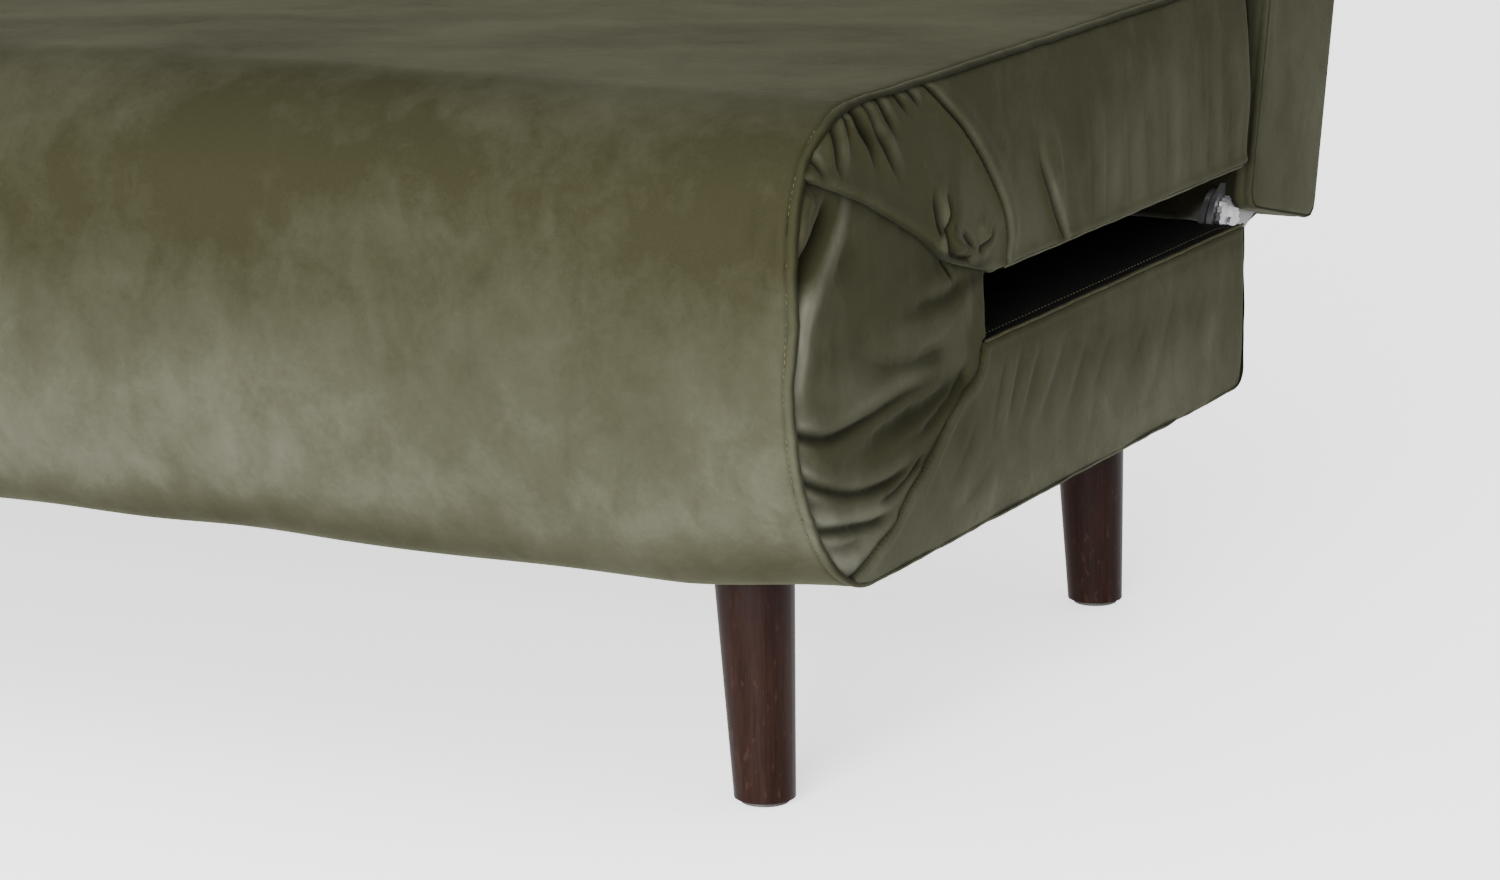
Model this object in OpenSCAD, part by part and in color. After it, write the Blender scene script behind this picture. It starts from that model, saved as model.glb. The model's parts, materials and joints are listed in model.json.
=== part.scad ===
// Futon sofa bed. The seat section is folded over a base section that stands on four tapered wooden
// legs, and the back is hinged to the base's rear. The seat turns over its front hinges and the back
// reclines, so that base, seat and back lie level as one bed.
// Axes: +X to the sitter's left, +Y to the back, +Z up. The origin is on the floor under the middle of
// the object's box. All sections are drawn in a depth that is 0 at the taut front panel.

/* [Body] */
// Overall width over the covers
body_w = 1230; // [900:10:1500]
// Depth of the base and of the seat section
section_d = 690; // [660:5:760]
// Height of the seat's top over the floor
seat_h = 440; // [430:1:460]
// Thickness of the folded-over seat section
seat_t = 134; // [130:1:140]
// Thickness of the base section
base_t = 116; // [112:1:120]
// Length of the back section
back_l = 590; // [520:5:640]
// Thickness of the back section
back_t = 130; // [120:1:140]
// Angle of the back over the flat bed when it stands up
back_up = 77; // [65:1:80]
// Radius of the front's top and bottom edges
front_r = 62; // [40:1:62]

/* [Legs] */
// Height of the wooden legs with their glides
leg_h = 150; // [145:1:160]
// Radius of a leg at its top
leg_r_top = 24.8; // [20:0.2:28]
// Radius of a leg at its foot
leg_r_foot = 18.8; // [16:0.2:20]
// Inset of a leg's foot from the side
leg_in_x = 85; // [70:1:120]
// Depth of the front legs behind the front
leg_front_y = 126; // [110:1:160]
// Depth of the rear legs behind the front
leg_rear_y = 629; // [560:1:640]

/* [Frames] */
// Side of the square frame tubes
tube = 25; // [20:1:25]
// Wall of the frame tubes
wall = 1.5; // [1:0.1:2.5]
// Number of slats in each section
slats = 6; // [4:1:8]

/* [Hidden] */
skin = 3;                       // cover thickness
soft_y0 = 15;                   // front face of the cushions, behind the taut front panel
fold_d = 160;                   // depth of the closed part of the fold
base_z0 = leg_h;
base_z1 = base_z0 + base_t;
seat_z0 = seat_h - seat_t;
hinge_y = 8;                    // front hinge axis
hinge_z = (base_z1 + seat_z0) / 2;
fold_slit = 2;                  // half of the slit between the two fold pads
recline_y = section_d + 10;     // recline axis
recline_z = base_z1 - 4;
back_y0 = recline_y + 12;
back_y1 = back_y0 + back_l;
back_z0 = base_z1 - back_t;
half_w = body_w / 2;
frame_x = half_w - 29;          // outer face of the base and seat frames
back_frame_x = frame_x + 5;     // outer face of the back frame
frame_y0 = 78;
frame_y1 = section_d - 30;
base_frame_z = base_z0 + 11;
seat_frame_z = seat_z0 + 46;
back_frame_z = back_z0 + 16;
slat_t = 8;
slat_w = 60;
hinge_xs = [-430, 0, 430];
knuckle_r = 4.5;
pin_r = 2.2;
run = 0.05;                     // radial running clearance
leaf_w = 60;
leaf_t = 4;
disc_r = 24;
pivot_r = 5;
plate_t = 4;
rod_r = 9.5;
back_leg_y = back_y1 - 82;      // fold axis of the rear support leg, on the flat back
back_leg_z = back_z0 - rod_r - 2.5;
back_leg_x = 360;
ear_r = 12;
seat_leg_x = 480;
seat_leg_y = section_d + 14;
seat_leg_z = seat_frame_z + tube / 2;
seat_leg_l = 2 * hinge_z - seat_leg_z;   // reaches the floor when the seat lies turned over
leg_tilt_x = (leg_r_top - leg_r_foot);   // the leg's outer side stands upright
glide_h = 3;
pad_t = 7;
ledge_z = seat_z0 - pad_t - 0.4;
back_deg_y = recline_y + (back_leg_y - recline_y) * cos(back_up) + (recline_z - back_leg_z) * sin(back_up);
depth = back_deg_y + ear_r;
mid_y = (depth + hinge_y - knuckle_r) / 2;

velvet = [0.33, 0.33, 0.23];
lining = [0.05, 0.05, 0.05];
walnut = [0.2, 0.11, 0.09];
steel = [0.12, 0.12, 0.13];
zinc = [0.65, 0.66, 0.68];
foam = [0.9, 0.86, 0.7];
ply = [0.8, 0.66, 0.46];
rubber = [0.07, 0.07, 0.07];

// ---- placing -------------------------------------------------------------------------------------

// Moves a piece drawn in depths from the front panel to the object's own origin.
module place() {
    translate([0, -mid_y, 0]) children();
}

// Stands a piece drawn on the flat back up to the sitting angle.
module stand_back() {
    place() translate([0, recline_y, recline_z]) rotate([back_up, 0, 0])
        translate([0, -recline_y, -recline_z]) children();
}

// Extrudes an outline drawn in depth and height along the width.
module along_x(w) {
    rotate([90, 0, 90]) linear_extrude(w, center = true) children();
}

module both_sides() {
    children();
    mirror([1, 0, 0]) children();
}

module slab(x0, x1, y0, y1, z0, z1) {
    translate([x0, y0, z0]) cube([x1 - x0, y1 - y0, z1 - z0]);
}

module x_rod(x0, x1, y, z, r, fn = 48) {
    translate([x0, y, z]) rotate([0, 90, 0]) cylinder(h = x1 - x0, r = r, $fn = fn);
}

// ---- cushion outlines ----------------------------------------------------------------------------

// Outline of the seat section; inset draws the foam inside its cover.
module seat_outline(inset) {
    y0 = soft_y0 + inset;
    r = front_r - inset;
    z1 = seat_h - inset;
    translate([y0 + r, seat_z0 + inset]) square([section_d - inset - y0 - r, z1 - seat_z0 - inset]);
    translate([y0, seat_z0 + inset]) square([r, z1 - r - seat_z0 - inset]);
    translate([y0 + r, z1 - r]) circle(r, $fn = 96);
}

// Outline of the base section; its rounded edge is at the bottom.
module base_outline(inset) {
    y0 = soft_y0 + inset;
    r = front_r - inset;
    z0 = base_z0 + inset;
    translate([y0 + r, z0]) square([section_d - inset - y0 - r, base_z1 - inset - z0]);
    translate([y0, z0 + r]) square([r, base_z1 - inset - z0 - r]);
    intersection() {
        translate([y0 + r, z0 + r]) circle(r, $fn = 96);
        translate([y0, z0]) square(r);
    }
}

// Outline of the back section, lying flat, with both long edges of its free end rounded.
module back_outline(inset) {
    r = 40 - inset;
    y1 = back_y1 - inset;
    z0 = back_z0 + inset;
    z1 = base_z1 - inset;
    translate([back_y0 + inset, z0]) square([y1 - r - back_y0 - inset, z1 - z0]);
    translate([y1 - r, z0 + r]) square([r, z1 - z0 - 2 * r]);
    for (z = [z0 + r, z1 - r]) translate([y1 - r, z]) circle(r, $fn = 64);
}

// ---- shared frame shapes -------------------------------------------------------------------------

module hollow_x(x0, x1, y, z) {
    difference() {
        slab(x0, x1, y, y + tube, z, z + tube);
        slab(x0 - 1, x1 + 1, y + wall, y + tube - wall, z + wall, z + tube - wall);
    }
}

module hollow_y(x, y0, y1, z) {
    difference() {
        slab(x, x + tube, y0, y1, z, z + tube);
        slab(x + wall, x + tube - wall, y0 - 1, y1 + 1, z + wall, z + tube - wall);
    }
}

// A welded rectangle of square tube with a middle tie; a hair's gap stands for each weld line.
module tube_frame(x, y0, y1, z) {
    weld = 0.2;
    for (y = [y0, y1 - tube]) hollow_x(-x, x, y, z);
    for (side = [-x, -tube / 2, x - tube]) hollow_y(side, y0 + tube + weld, y1 - tube - weld, z);
}

// Bent plywood slats across a frame's depth.
module slat_row(x, y0, y1, z) {
    pitch = (2 * x - tube) / slats;
    for (i = [0 : slats - 1])
        slab(-x + tube / 2 + pitch * (i + 0.5) - slat_w / 2, -x + tube / 2 + pitch * (i + 0.5) + slat_w / 2,
             y0 + 3, y1 - 3, z, z + slat_t);
}

// Room in the foam for a frame, its slats and the hinge leaves.
module frame_pocket(x, y0, y1, z) {
    slab(-x - 1, x + 1, y0 - 1, y1 + 1, z - 1, z + tube + slat_t + 1);
}

module leaf_notches(z0, z1) {
    for (x = hinge_xs) slab(x - leaf_w / 2 - 2, x + leaf_w / 2 + 2, 0, frame_y0 + 1, z0, z1);
}

// Slots beside the frames for the recline plates.
module recline_slots(y0, y1, z0, z1) {
    both_sides() slab(frame_x - 2, frame_x + 15, y0, y1, z0, z1);
}

// ---- base section --------------------------------------------------------------------------------

module base_frame_tubes() {
    color(steel) place() tube_frame(frame_x, frame_y0, frame_y1, base_frame_z);
}

module base_slats() {
    color(ply) place() slat_row(frame_x, frame_y0, frame_y1, base_frame_z + tube);
}

module base_foam() {
    color(foam) place() difference() {
        along_x(body_w - 2 * skin) base_outline(skin);
        frame_pocket(frame_x, frame_y0, frame_y1, base_frame_z);
        slab(-half_w, half_w, 0, section_d, 0, base_frame_z - 1);
        leaf_notches(base_frame_z - 1, seat_h);
        recline_slots(600, section_d + 5, base_frame_z - 1, base_z1 + 5);
        both_sides() slab(455, 505, frame_y1, frame_y1 + 6, base_frame_z - 1, base_z1 + 5);
    }
}

module base_cover() {
    color(velvet) place() difference() {
        along_x(body_w) base_outline(0);
        along_x(body_w - 2 * skin) base_outline(skin);
        slab(-half_w + skin, half_w - skin, fold_d, section_d - skin, base_z1 - skin - 1, base_z1 + 5);
        leaf_notches(base_frame_z - 1, seat_h);
        recline_slots(recline_y - disc_r - 8, section_d + 5, base_frame_z + 30, base_z1 + 5);
        for (p = leg_places()) translate([p[0], p[1], base_z0 - 5]) cylinder(h = 12, r = 5, $fn = 32);
    }
}

module base_deck_lining() {
    color(lining) place() difference() {
        slab(-half_w + skin, half_w - skin, fold_d, section_d - skin, base_z1 - skin, base_z1);
        recline_slots(recline_y - disc_r - 8, section_d + 5, base_z1 - 10, base_z1 + 5);
        both_sides() slab(455, 505, frame_y1, frame_y1 + 6, base_z1 - 10, base_z1 + 5);
    }
}

// Foam that closes the fold behind the front panel, from a section's face to the slit.
module fold_pad(z0, z1) {
    color(foam) place() difference() {
        slab(-half_w, half_w, soft_y0, fold_d, z0, z1);
        leaf_notches(z0 - 1, z1 + 1);
    }
}

module base_fold_pad() fold_pad(base_z1, hinge_z - fold_slit);
module seat_fold_pad() fold_pad(hinge_z + fold_slit, seat_z0);

// ---- wooden legs ---------------------------------------------------------------------------------

// Middles of the legs' tops: left front, right front, left rear, right rear.
function leg_places() = [for (y = [leg_front_y, leg_rear_y], side = [1, -1])
    [side * (half_w - leg_in_x - leg_tilt_x), y, side]];

module wooden_leg(i) {
    p = leg_places()[i];
    lean = atan(leg_tilt_x / leg_h);
    color(walnut) place() difference() {
        intersection() {
            translate([p[0] + p[2] * leg_tilt_x, p[1], 0]) rotate([0, -p[2] * lean, 0])
                translate([0, 0, -5]) cylinder(h = leg_h + 15, r1 = leg_r_foot - 0.2, r2 = leg_r_top + 0.4, $fn = 96);
            translate([p[0] - 60, p[1] - 60, glide_h]) cube([120, 120, leg_h - glide_h]);
        }
        translate([p[0], p[1], leg_h - 40]) cylinder(h = 50, r = 4, $fn = 32);
    }
}

module leg_front_left() wooden_leg(0);
module leg_front_right() wooden_leg(1);
module leg_rear_left() wooden_leg(2);
module leg_rear_right() wooden_leg(3);

module leg_plates() {
    color(zinc) place() for (p = leg_places()) difference() {
        slab(p[0] - 45, p[0] + 45, p[1] - 35, min(p[1] + 35, frame_y1), base_frame_z - 4, base_frame_z);
        translate([p[0], p[1], base_z0]) cylinder(h = 20, r = 4, $fn = 32);
    }
}

module leg_bolts() {
    color(zinc) place() for (p = leg_places()) {
        translate([p[0], p[1], leg_h - 40]) cylinder(h = 40 + base_frame_z - base_z0, r = 4, $fn = 32);
    }
}

module leg_glides() {
    color(rubber) place() for (p = leg_places())
        translate([p[0] + p[2] * leg_tilt_x, p[1], 0]) cylinder(h = glide_h, r = 15, $fn = 64);
}

// ---- front hinges --------------------------------------------------------------------------------

module knuckle(x0, x1, up) {
    z0 = up ? hinge_z + knuckle_r - leaf_t : hinge_z - knuckle_r;
    difference() {
        union() {
            x_rod(x0, x1, hinge_y, hinge_z, knuckle_r);
            slab(x0, x1, hinge_y, frame_y0, z0, z0 + leaf_t);
        }
        x_rod(x0 - 1, x1 + 1, hinge_y, hinge_z, pin_r + run);
    }
}

module front_hinge_base_leaves() {
    color(zinc) place() for (x = hinge_xs) {
        slab(x - leaf_w / 2, x + leaf_w / 2, frame_y0 - leaf_t, frame_y0, base_frame_z, hinge_z - knuckle_r + leaf_t);
        knuckle(x - leaf_w / 2, x - 11, false);
        knuckle(x + 11, x + leaf_w / 2, false);
    }
}

module front_hinge_seat_leaves() {
    color(zinc) place() for (x = hinge_xs) {
        slab(x - leaf_w / 2, x + leaf_w / 2, frame_y0 - leaf_t, frame_y0,
             hinge_z + knuckle_r - leaf_t, seat_frame_z + tube);
        knuckle(x - 10, x + 10, true);
    }
}

module front_hinge_pins() {
    color(zinc) place() for (x = hinge_xs) x_rod(x - 32, x + 32, hinge_y, hinge_z, pin_r);
}

module front_hinge_rivets() {
    color(zinc) place() for (x = hinge_xs, dx = [-20, 20])
        translate([x + dx, frame_y0 - leaf_t, base_frame_z + tube / 2]) rotate([90, 0, 0])
            cylinder(h = 2.5, r = 5, $fn = 32);
}

// ---- recline hinges ------------------------------------------------------------------------------

module recline_base_plates() {
    color(steel) place() both_sides() difference() {
        translate([frame_x + plate_t / 2, 0, 0]) along_x(plate_t) union() {
            polygon([[610, base_frame_z], [655, base_frame_z], [recline_y + 18, recline_z - 16],
                     [recline_y - 16, recline_z + 18], [610, base_frame_z + tube]]);
            translate([recline_y, recline_z]) circle(disc_r, $fn = 64);
        }
        x_rod(frame_x - 1, frame_x + plate_t + 1, recline_y, recline_z, pivot_r);
    }
}

module recline_back_plates() {
    color(steel) stand_back() both_sides() difference() {
        translate([back_frame_x + plate_t / 2, 0, 0]) along_x(plate_t) union() {
            polygon([[recline_y + 16, recline_z + 18], [recline_y - 18, recline_z - 16],
                     [750, back_frame_z], [800, back_frame_z], [800, back_frame_z + tube]]);
            translate([recline_y, recline_z]) circle(disc_r, $fn = 64);
        }
        x_rod(back_frame_x - 1, back_frame_x + plate_t + 1, recline_y, recline_z, pivot_r + run);
    }
}

module recline_pivot_bolts() {
    color(zinc) place() both_sides() {
        x_rod(frame_x - 1.5, back_frame_x + 10, recline_y, recline_z, pivot_r);
        x_rod(frame_x - 6, frame_x - 1, recline_y, recline_z, 8, 6);
    }
}

// A toothed disc fixed to the pivot bolt.
module recline_ratchet_discs() {
    teeth = 24;
    color(zinc) place() both_sides() translate([back_frame_x + plate_t + 2.3, recline_y, recline_z])
        rotate([90, 0, 90]) linear_extrude(3.5, center = true) difference() {
            polygon([for (i = [0 : 2 * teeth - 1]) let (r = i % 2 == 0 ? 20 : 17.5, a = i * 180 / teeth)
                [r * cos(a), r * sin(a)]]);
            circle(pivot_r, $fn = 48);
        }
}

// ---- rests that hold the folded seat level -------------------------------------------------------

module seat_rest_brackets() {
    color(steel) place() both_sides() {
        slab(460, 500, frame_y1 + 0.5, frame_y1 + 4.5, base_frame_z, ledge_z);
        slab(460, 500, frame_y1 + 0.5, section_d - 2, ledge_z - 4, ledge_z);
    }
}

module seat_rest_pads() {
    color(rubber) place() both_sides() slab(462, 498, frame_y1 + 2, section_d - 4, ledge_z, ledge_z + pad_t);
}

// ---- gussets at the fold's ends ------------------------------------------------------------------

module gusset(side) {
    t = 1.6;
    color(velvet) place() translate([side * (half_w + 0.4 + t / 2), 0, 0]) along_x(t) polygon([
        [soft_y0 + 3, base_z0 + 50], [soft_y0 + 40, base_z0 + 10], [fold_d, base_z1 - 30], [fold_d + 6, hinge_z],
        [soft_y0 + 8, seat_h - 60]]);
}

module front_gusset_left() gusset(1);
module front_gusset_right() gusset(-1);

// ---- seat section --------------------------------------------------------------------------------

module seat_frame_tubes() {
    color(steel) place() tube_frame(frame_x, frame_y0, frame_y1, seat_frame_z);
}

module seat_slats() {
    color(ply) place() slat_row(frame_x, frame_y0, frame_y1, seat_frame_z + tube);
}

module seat_soft(z0, z1) {
    intersection() {
        along_x(body_w - 2 * skin) seat_outline(skin);
        slab(-half_w, half_w, 0, section_d, z0, z1);
    }
}

module seat_foam() {
    color(foam) place() difference() {
        seat_soft(seat_frame_z, seat_h);
        frame_pocket(frame_x, frame_y0, frame_y1, seat_frame_z);
        leaf_notches(0, seat_frame_z + tube + 1);
        both_sides() slab(seat_leg_x - 25, seat_leg_x + 25, frame_y1, section_d + 5, 0, seat_frame_z + tube + 1);
    }
}

module seat_sleep_foam() {
    color(foam) place() difference() {
        seat_soft(0, seat_frame_z - 1);
        leaf_notches(0, seat_frame_z + tube + 1);
    }
}

module seat_cover() {
    color(velvet) place() difference() {
        along_x(body_w) seat_outline(0);
        along_x(body_w - 2 * skin) seat_outline(skin);
        slab(-half_w + skin, half_w - skin, fold_d, section_d - skin, seat_z0 - 5, seat_z0 + skin + 1);
        leaf_notches(0, seat_frame_z + tube + 1);
        both_sides() slab(seat_leg_x - 20, seat_leg_x + 20, frame_y1, section_d + 5,
                          seat_frame_z - 1, seat_frame_z + tube + 1);
    }
}

module seat_underlining() {
    color(lining) place()
        slab(-half_w + skin, half_w - skin, fold_d, section_d - skin, seat_z0, seat_z0 + skin);
}

// ---- swing-out legs on the seat's free end -------------------------------------------------------

module seat_leg_brackets() {
    color(steel) place() both_sides() difference() {
        slab(seat_leg_x - 18, seat_leg_x + 18, frame_y1 + 0.3, section_d + 3, seat_leg_z - 12, seat_leg_z + 12);
        translate([seat_leg_x, frame_y1 - 1, seat_leg_z]) rotate([-90, 0, 0]) cylinder(h = 60, r = 4, $fn = 32);
    }
}

module seat_leg_pivot_bolts() {
    color(zinc) place() both_sides() translate([seat_leg_x, 0, seat_leg_z]) rotate([-90, 0, 0]) {
        translate([0, 0, frame_y1 + 4]) cylinder(h = seat_leg_y + 8.7 - frame_y1 - 4, r = 4, $fn = 32);
        translate([0, 0, seat_leg_y + 6.2]) cylinder(h = 2.5, r = 7, $fn = 32);
    }
}

// Flattened at its pivot, round over its length, with a rubber foot on its end; drawn folded away.
module seat_leg_tube(side) {
    color(steel) place() translate([side * seat_leg_x, seat_leg_y, seat_leg_z]) difference() {
        union() {
            translate([0, -6, 0]) rotate([-90, 0, 0]) cylinder(h = 12, r = 12, $fn = 48);
            translate([side > 0 ? -30 : 0, -6, -9]) cube([30, 12, 18]);
            rotate([0, -side * 90, 0]) translate([0, 0, 28]) cylinder(h = seat_leg_l - 28 - 6, r = rod_r, $fn = 48);
        }
        translate([0, -7, 0]) rotate([-90, 0, 0]) cylinder(h = 14, r = 4 + run, $fn = 32);
    }
}

module seat_leg_foot(side) {
    color(rubber) place() translate([side * seat_leg_x, seat_leg_y, seat_leg_z]) rotate([0, -side * 90, 0])
        difference() {
            translate([0, 0, seat_leg_l - 24]) cylinder(h = 24, r = rod_r + 2, $fn = 48);
            translate([0, 0, seat_leg_l - 25]) cylinder(h = 19, r = rod_r, $fn = 48);
        }
}

module seat_leg_left_tube() seat_leg_tube(1);
module seat_leg_left_foot() seat_leg_foot(1);
module seat_leg_right_tube() seat_leg_tube(-1);
module seat_leg_right_foot() seat_leg_foot(-1);

// ---- back section --------------------------------------------------------------------------------

back_frame_y0 = back_y0 + 34;
back_frame_y1 = back_y1 - 40;

module back_frame_tubes() {
    color(steel) stand_back() tube_frame(back_frame_x, back_frame_y0, back_frame_y1, back_frame_z);
}

module back_slats() {
    color(ply) stand_back() slat_row(back_frame_x, back_frame_y0, back_frame_y1, back_frame_z + tube);
}

module back_leg_slots(z1) {
    both_sides() slab(back_leg_x - 8, back_leg_x + 24, back_leg_y - 16, back_frame_y1 + 5, 0, z1);
}

module back_foam() {
    color(foam) stand_back() difference() {
        along_x(body_w - 2 * skin) back_outline(skin);
        slab(-half_w, half_w, 0, 2 * section_d, 0, back_frame_z - 1);
        frame_pocket(back_frame_x, back_frame_y0, back_frame_y1, back_frame_z);
        recline_slots(0, 812, back_frame_z - 2, base_z1 + 5);
    }
}

module back_cover() {
    color(velvet) stand_back() difference() {
        along_x(body_w) back_outline(0);
        along_x(body_w - 2 * skin) back_outline(skin);
        slab(-half_w + skin, half_w - skin, back_y0 + skin, back_y1 - 40, 0, back_z0 + skin + 1);
        recline_slots(0, recline_y + disc_r + 10, back_frame_z - 2, base_z1 + 5);
    }
}

module back_rear_panel() {
    color(lining) stand_back() difference() {
        slab(-half_w + skin, half_w - skin, back_y0 + skin, back_y1 - 40, back_z0, back_z0 + skin);
        back_leg_slots(back_frame_z);
    }
}

// ---- rear support leg ----------------------------------------------------------------------------

module back_leg_brackets() {
    color(steel) stand_back() both_sides() difference() {
        union() {
            slab(back_leg_x + 12, back_leg_x + 16, back_leg_y - ear_r, back_frame_y1 - 4, back_z0 + 2, back_frame_z);
            slab(back_leg_x + 12, back_leg_x + 16, back_leg_y - ear_r, back_leg_y + ear_r, back_leg_z, back_z0 + 3);
            x_rod(back_leg_x + 12, back_leg_x + 16, back_leg_y, back_leg_z, ear_r);
        }
        x_rod(back_leg_x + 11, back_leg_x + 17, back_leg_y, back_leg_z, 4);
    }
}

module back_leg_pins() {
    color(zinc) stand_back() both_sides() x_rod(back_leg_x - 12, back_leg_x + 19, back_leg_y, back_leg_z, 4);
}

// Length of the posts from the fold axis to the floor when the back lies flat.
post_l = back_leg_z;

module back_leg_post(side) {
    color(steel) stand_back() translate([side * back_leg_x, back_leg_y, back_leg_z]) difference() {
        union() {
            rotate([0, 90, 0]) cylinder(h = 19, r = rod_r, center = true, $fn = 48);
            rotate([90, 0, 0]) cylinder(h = post_l - 6, r = rod_r - 0.5, $fn = 48);
        }
        rotate([0, 90, 0]) cylinder(h = 30, r = 4 + run, center = true, $fn = 32);
    }
}

module back_leg_left_post() back_leg_post(1);
module back_leg_right_post() back_leg_post(-1);

module back_leg_crossbar() {
    color(steel) stand_back()
        x_rod(-back_leg_x + rod_r, back_leg_x - rod_r, back_leg_y - post_l + 38, back_leg_z, 7);
}

module back_leg_feet() {
    color(rubber) stand_back() both_sides() translate([back_leg_x, back_leg_y, back_leg_z]) rotate([90, 0, 0])
        difference() {
            translate([0, 0, post_l - 24]) cylinder(h = 24, r = rod_r + 1.5, $fn = 48);
            translate([0, 0, post_l - 25]) cylinder(h = 19, r = rod_r - 0.5, $fn = 48);
        }
}

// ---- output --------------------------------------------------------------------------------------

base_frame_tubes();
base_slats();
base_foam();
base_cover();
base_deck_lining();
base_fold_pad();
leg_front_left();
leg_front_right();
leg_rear_left();
leg_rear_right();
leg_plates();
leg_bolts();
leg_glides();
front_hinge_base_leaves();
front_hinge_pins();
front_hinge_rivets();
recline_base_plates();
recline_pivot_bolts();
recline_ratchet_discs();
seat_rest_brackets();
seat_rest_pads();
front_gusset_left();
front_gusset_right();
seat_frame_tubes();
seat_slats();
seat_foam();
seat_sleep_foam();
seat_cover();
seat_underlining();
seat_fold_pad();
front_hinge_seat_leaves();
seat_leg_brackets();
seat_leg_pivot_bolts();
seat_leg_left_tube();
seat_leg_left_foot();
seat_leg_right_tube();
seat_leg_right_foot();
back_frame_tubes();
back_slats();
back_foam();
back_cover();
back_rear_panel();
recline_back_plates();
back_leg_brackets();
back_leg_pins();
back_leg_left_post();
back_leg_right_post();
back_leg_crossbar();
back_leg_feet();
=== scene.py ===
"""Futon sofa bed: velvet panels, gussets, linings, wood and steel finishes round the CAD frame.

Side outlines are given as (depth, height) in millimetres: depth runs from the taut front panel to the
back, height from the floor. Everything else is in metres in the frame's own axes.
"""
import json
import math

import bmesh
import bpy
import numpy as np
from mathutils import Matrix, Vector


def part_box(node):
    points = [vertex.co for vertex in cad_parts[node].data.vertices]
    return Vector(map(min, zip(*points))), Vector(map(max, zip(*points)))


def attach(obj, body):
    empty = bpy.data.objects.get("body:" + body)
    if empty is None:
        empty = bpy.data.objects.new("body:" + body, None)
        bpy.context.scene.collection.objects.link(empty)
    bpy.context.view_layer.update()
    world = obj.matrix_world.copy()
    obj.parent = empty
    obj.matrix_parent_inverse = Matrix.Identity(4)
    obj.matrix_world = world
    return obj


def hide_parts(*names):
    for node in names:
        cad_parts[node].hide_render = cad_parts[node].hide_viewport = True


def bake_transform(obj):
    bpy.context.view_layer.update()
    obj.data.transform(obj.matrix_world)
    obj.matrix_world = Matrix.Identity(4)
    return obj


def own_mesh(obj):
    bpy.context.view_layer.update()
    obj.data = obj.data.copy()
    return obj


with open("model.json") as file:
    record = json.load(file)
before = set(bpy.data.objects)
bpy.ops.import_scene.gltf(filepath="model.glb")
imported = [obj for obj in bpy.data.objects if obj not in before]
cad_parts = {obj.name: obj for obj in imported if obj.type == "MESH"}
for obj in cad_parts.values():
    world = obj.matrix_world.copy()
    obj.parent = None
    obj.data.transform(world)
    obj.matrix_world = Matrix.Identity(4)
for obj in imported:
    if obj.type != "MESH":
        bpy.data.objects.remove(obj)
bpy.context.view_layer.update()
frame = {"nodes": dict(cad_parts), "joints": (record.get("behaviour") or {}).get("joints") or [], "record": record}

MM = 0.001

# ---- places from the frame ----

base_lo, base_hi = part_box("base_cover")
seat_lo, seat_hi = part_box("seat_cover")
COVER_DEPTH = 15  # the CAD cushions' front faces, in mm behind the taut front panel
FRONT_Y = base_lo[1] - COVER_DEPTH * MM
HALF_W = base_hi[0]
REAR = (base_hi[1] - FRONT_Y) / MM  # depth of the sections
FACE = 6.0  # depth of the velvet's front face, away from the hinge
BASE_BOTTOM = base_lo[2] / MM
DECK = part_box("base_deck_lining")[1][2] / MM
SEAT_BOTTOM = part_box("seat_underlining")[0][2] / MM
SEAT_TOP = seat_hi[2] / MM
HINGE = (DECK + SEAT_BOTTOM) / 2  # height of the front hinge's axis
TOP_R = 75.0  # radius of the seat's front edge
TOE_D = 95.0  # depth and height of the base's rounded toe
TOE_H = 105.0
TOE_POWER = 1.7
REAR_R = 16.0  # radius of the sections' rear edges
SIDES = {1: "left", -1: "right"}  # the sign of x on each side


def toe_height(depth):
    """Height of the base's underside at a depth, round its front toe."""
    t = np.clip((TOE_D - (np.asarray(depth, float) - FACE)) / TOE_D, 0, 1)
    return BASE_BOTTOM + TOE_H * (1 - (1 - t**TOE_POWER) ** (1 / TOE_POWER))


def brow_height(depth):
    """Height of the seat's top at a depth, round its front edge."""
    t = np.clip((TOP_R - (np.asarray(depth, float) - FACE)) / TOP_R, 0, 1)
    return SEAT_TOP - TOP_R * (1 - np.sqrt(1 - t * t))


def toe_line(count, face=FACE, bottom=BASE_BOTTOM):
    """The toe's (depth, height) from its top round to the underside."""
    power = 2 / TOE_POWER
    return [(face + TOE_D * (1 - math.cos(a) ** power), bottom + TOE_H * (1 - math.sin(a) ** power))
            for a in np.linspace(0, math.pi / 2, count)]


def brow_line(angles, face=FACE, top=SEAT_TOP):
    """The seat's front edge, (depth, height), at angles from its top."""
    return [(face + TOP_R * (1 - math.sin(a)), top - TOP_R * (1 - math.cos(a))) for a in angles]


# ---- small tools ----


def wander(points, size, seed, octaves=2):
    """Smooth seeded noise of about -1 to 1 at points, with features of about size metres."""
    rng = np.random.default_rng(seed)
    total = np.zeros(points.shape[:-1])
    for octave in range(octaves):
        for _ in range(9):
            way = rng.normal(size=3)
            way *= 2 * math.pi / (np.linalg.norm(way) * size * rng.uniform(0.7, 1.5)) * 2**octave
            total += np.sin(points @ way + rng.uniform(0, 2 * math.pi)) * 0.5**octave
    return total / 4.0


def step(t):
    """0 to 1 with soft ends."""
    t = np.clip(t, 0, 1)
    return t * t * (3 - 2 * t)


def bell(distance, width):
    """1 where distance is 0, falling smoothly to 0 within about twice the width."""
    return np.exp(-((distance / width) ** 2))


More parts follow.
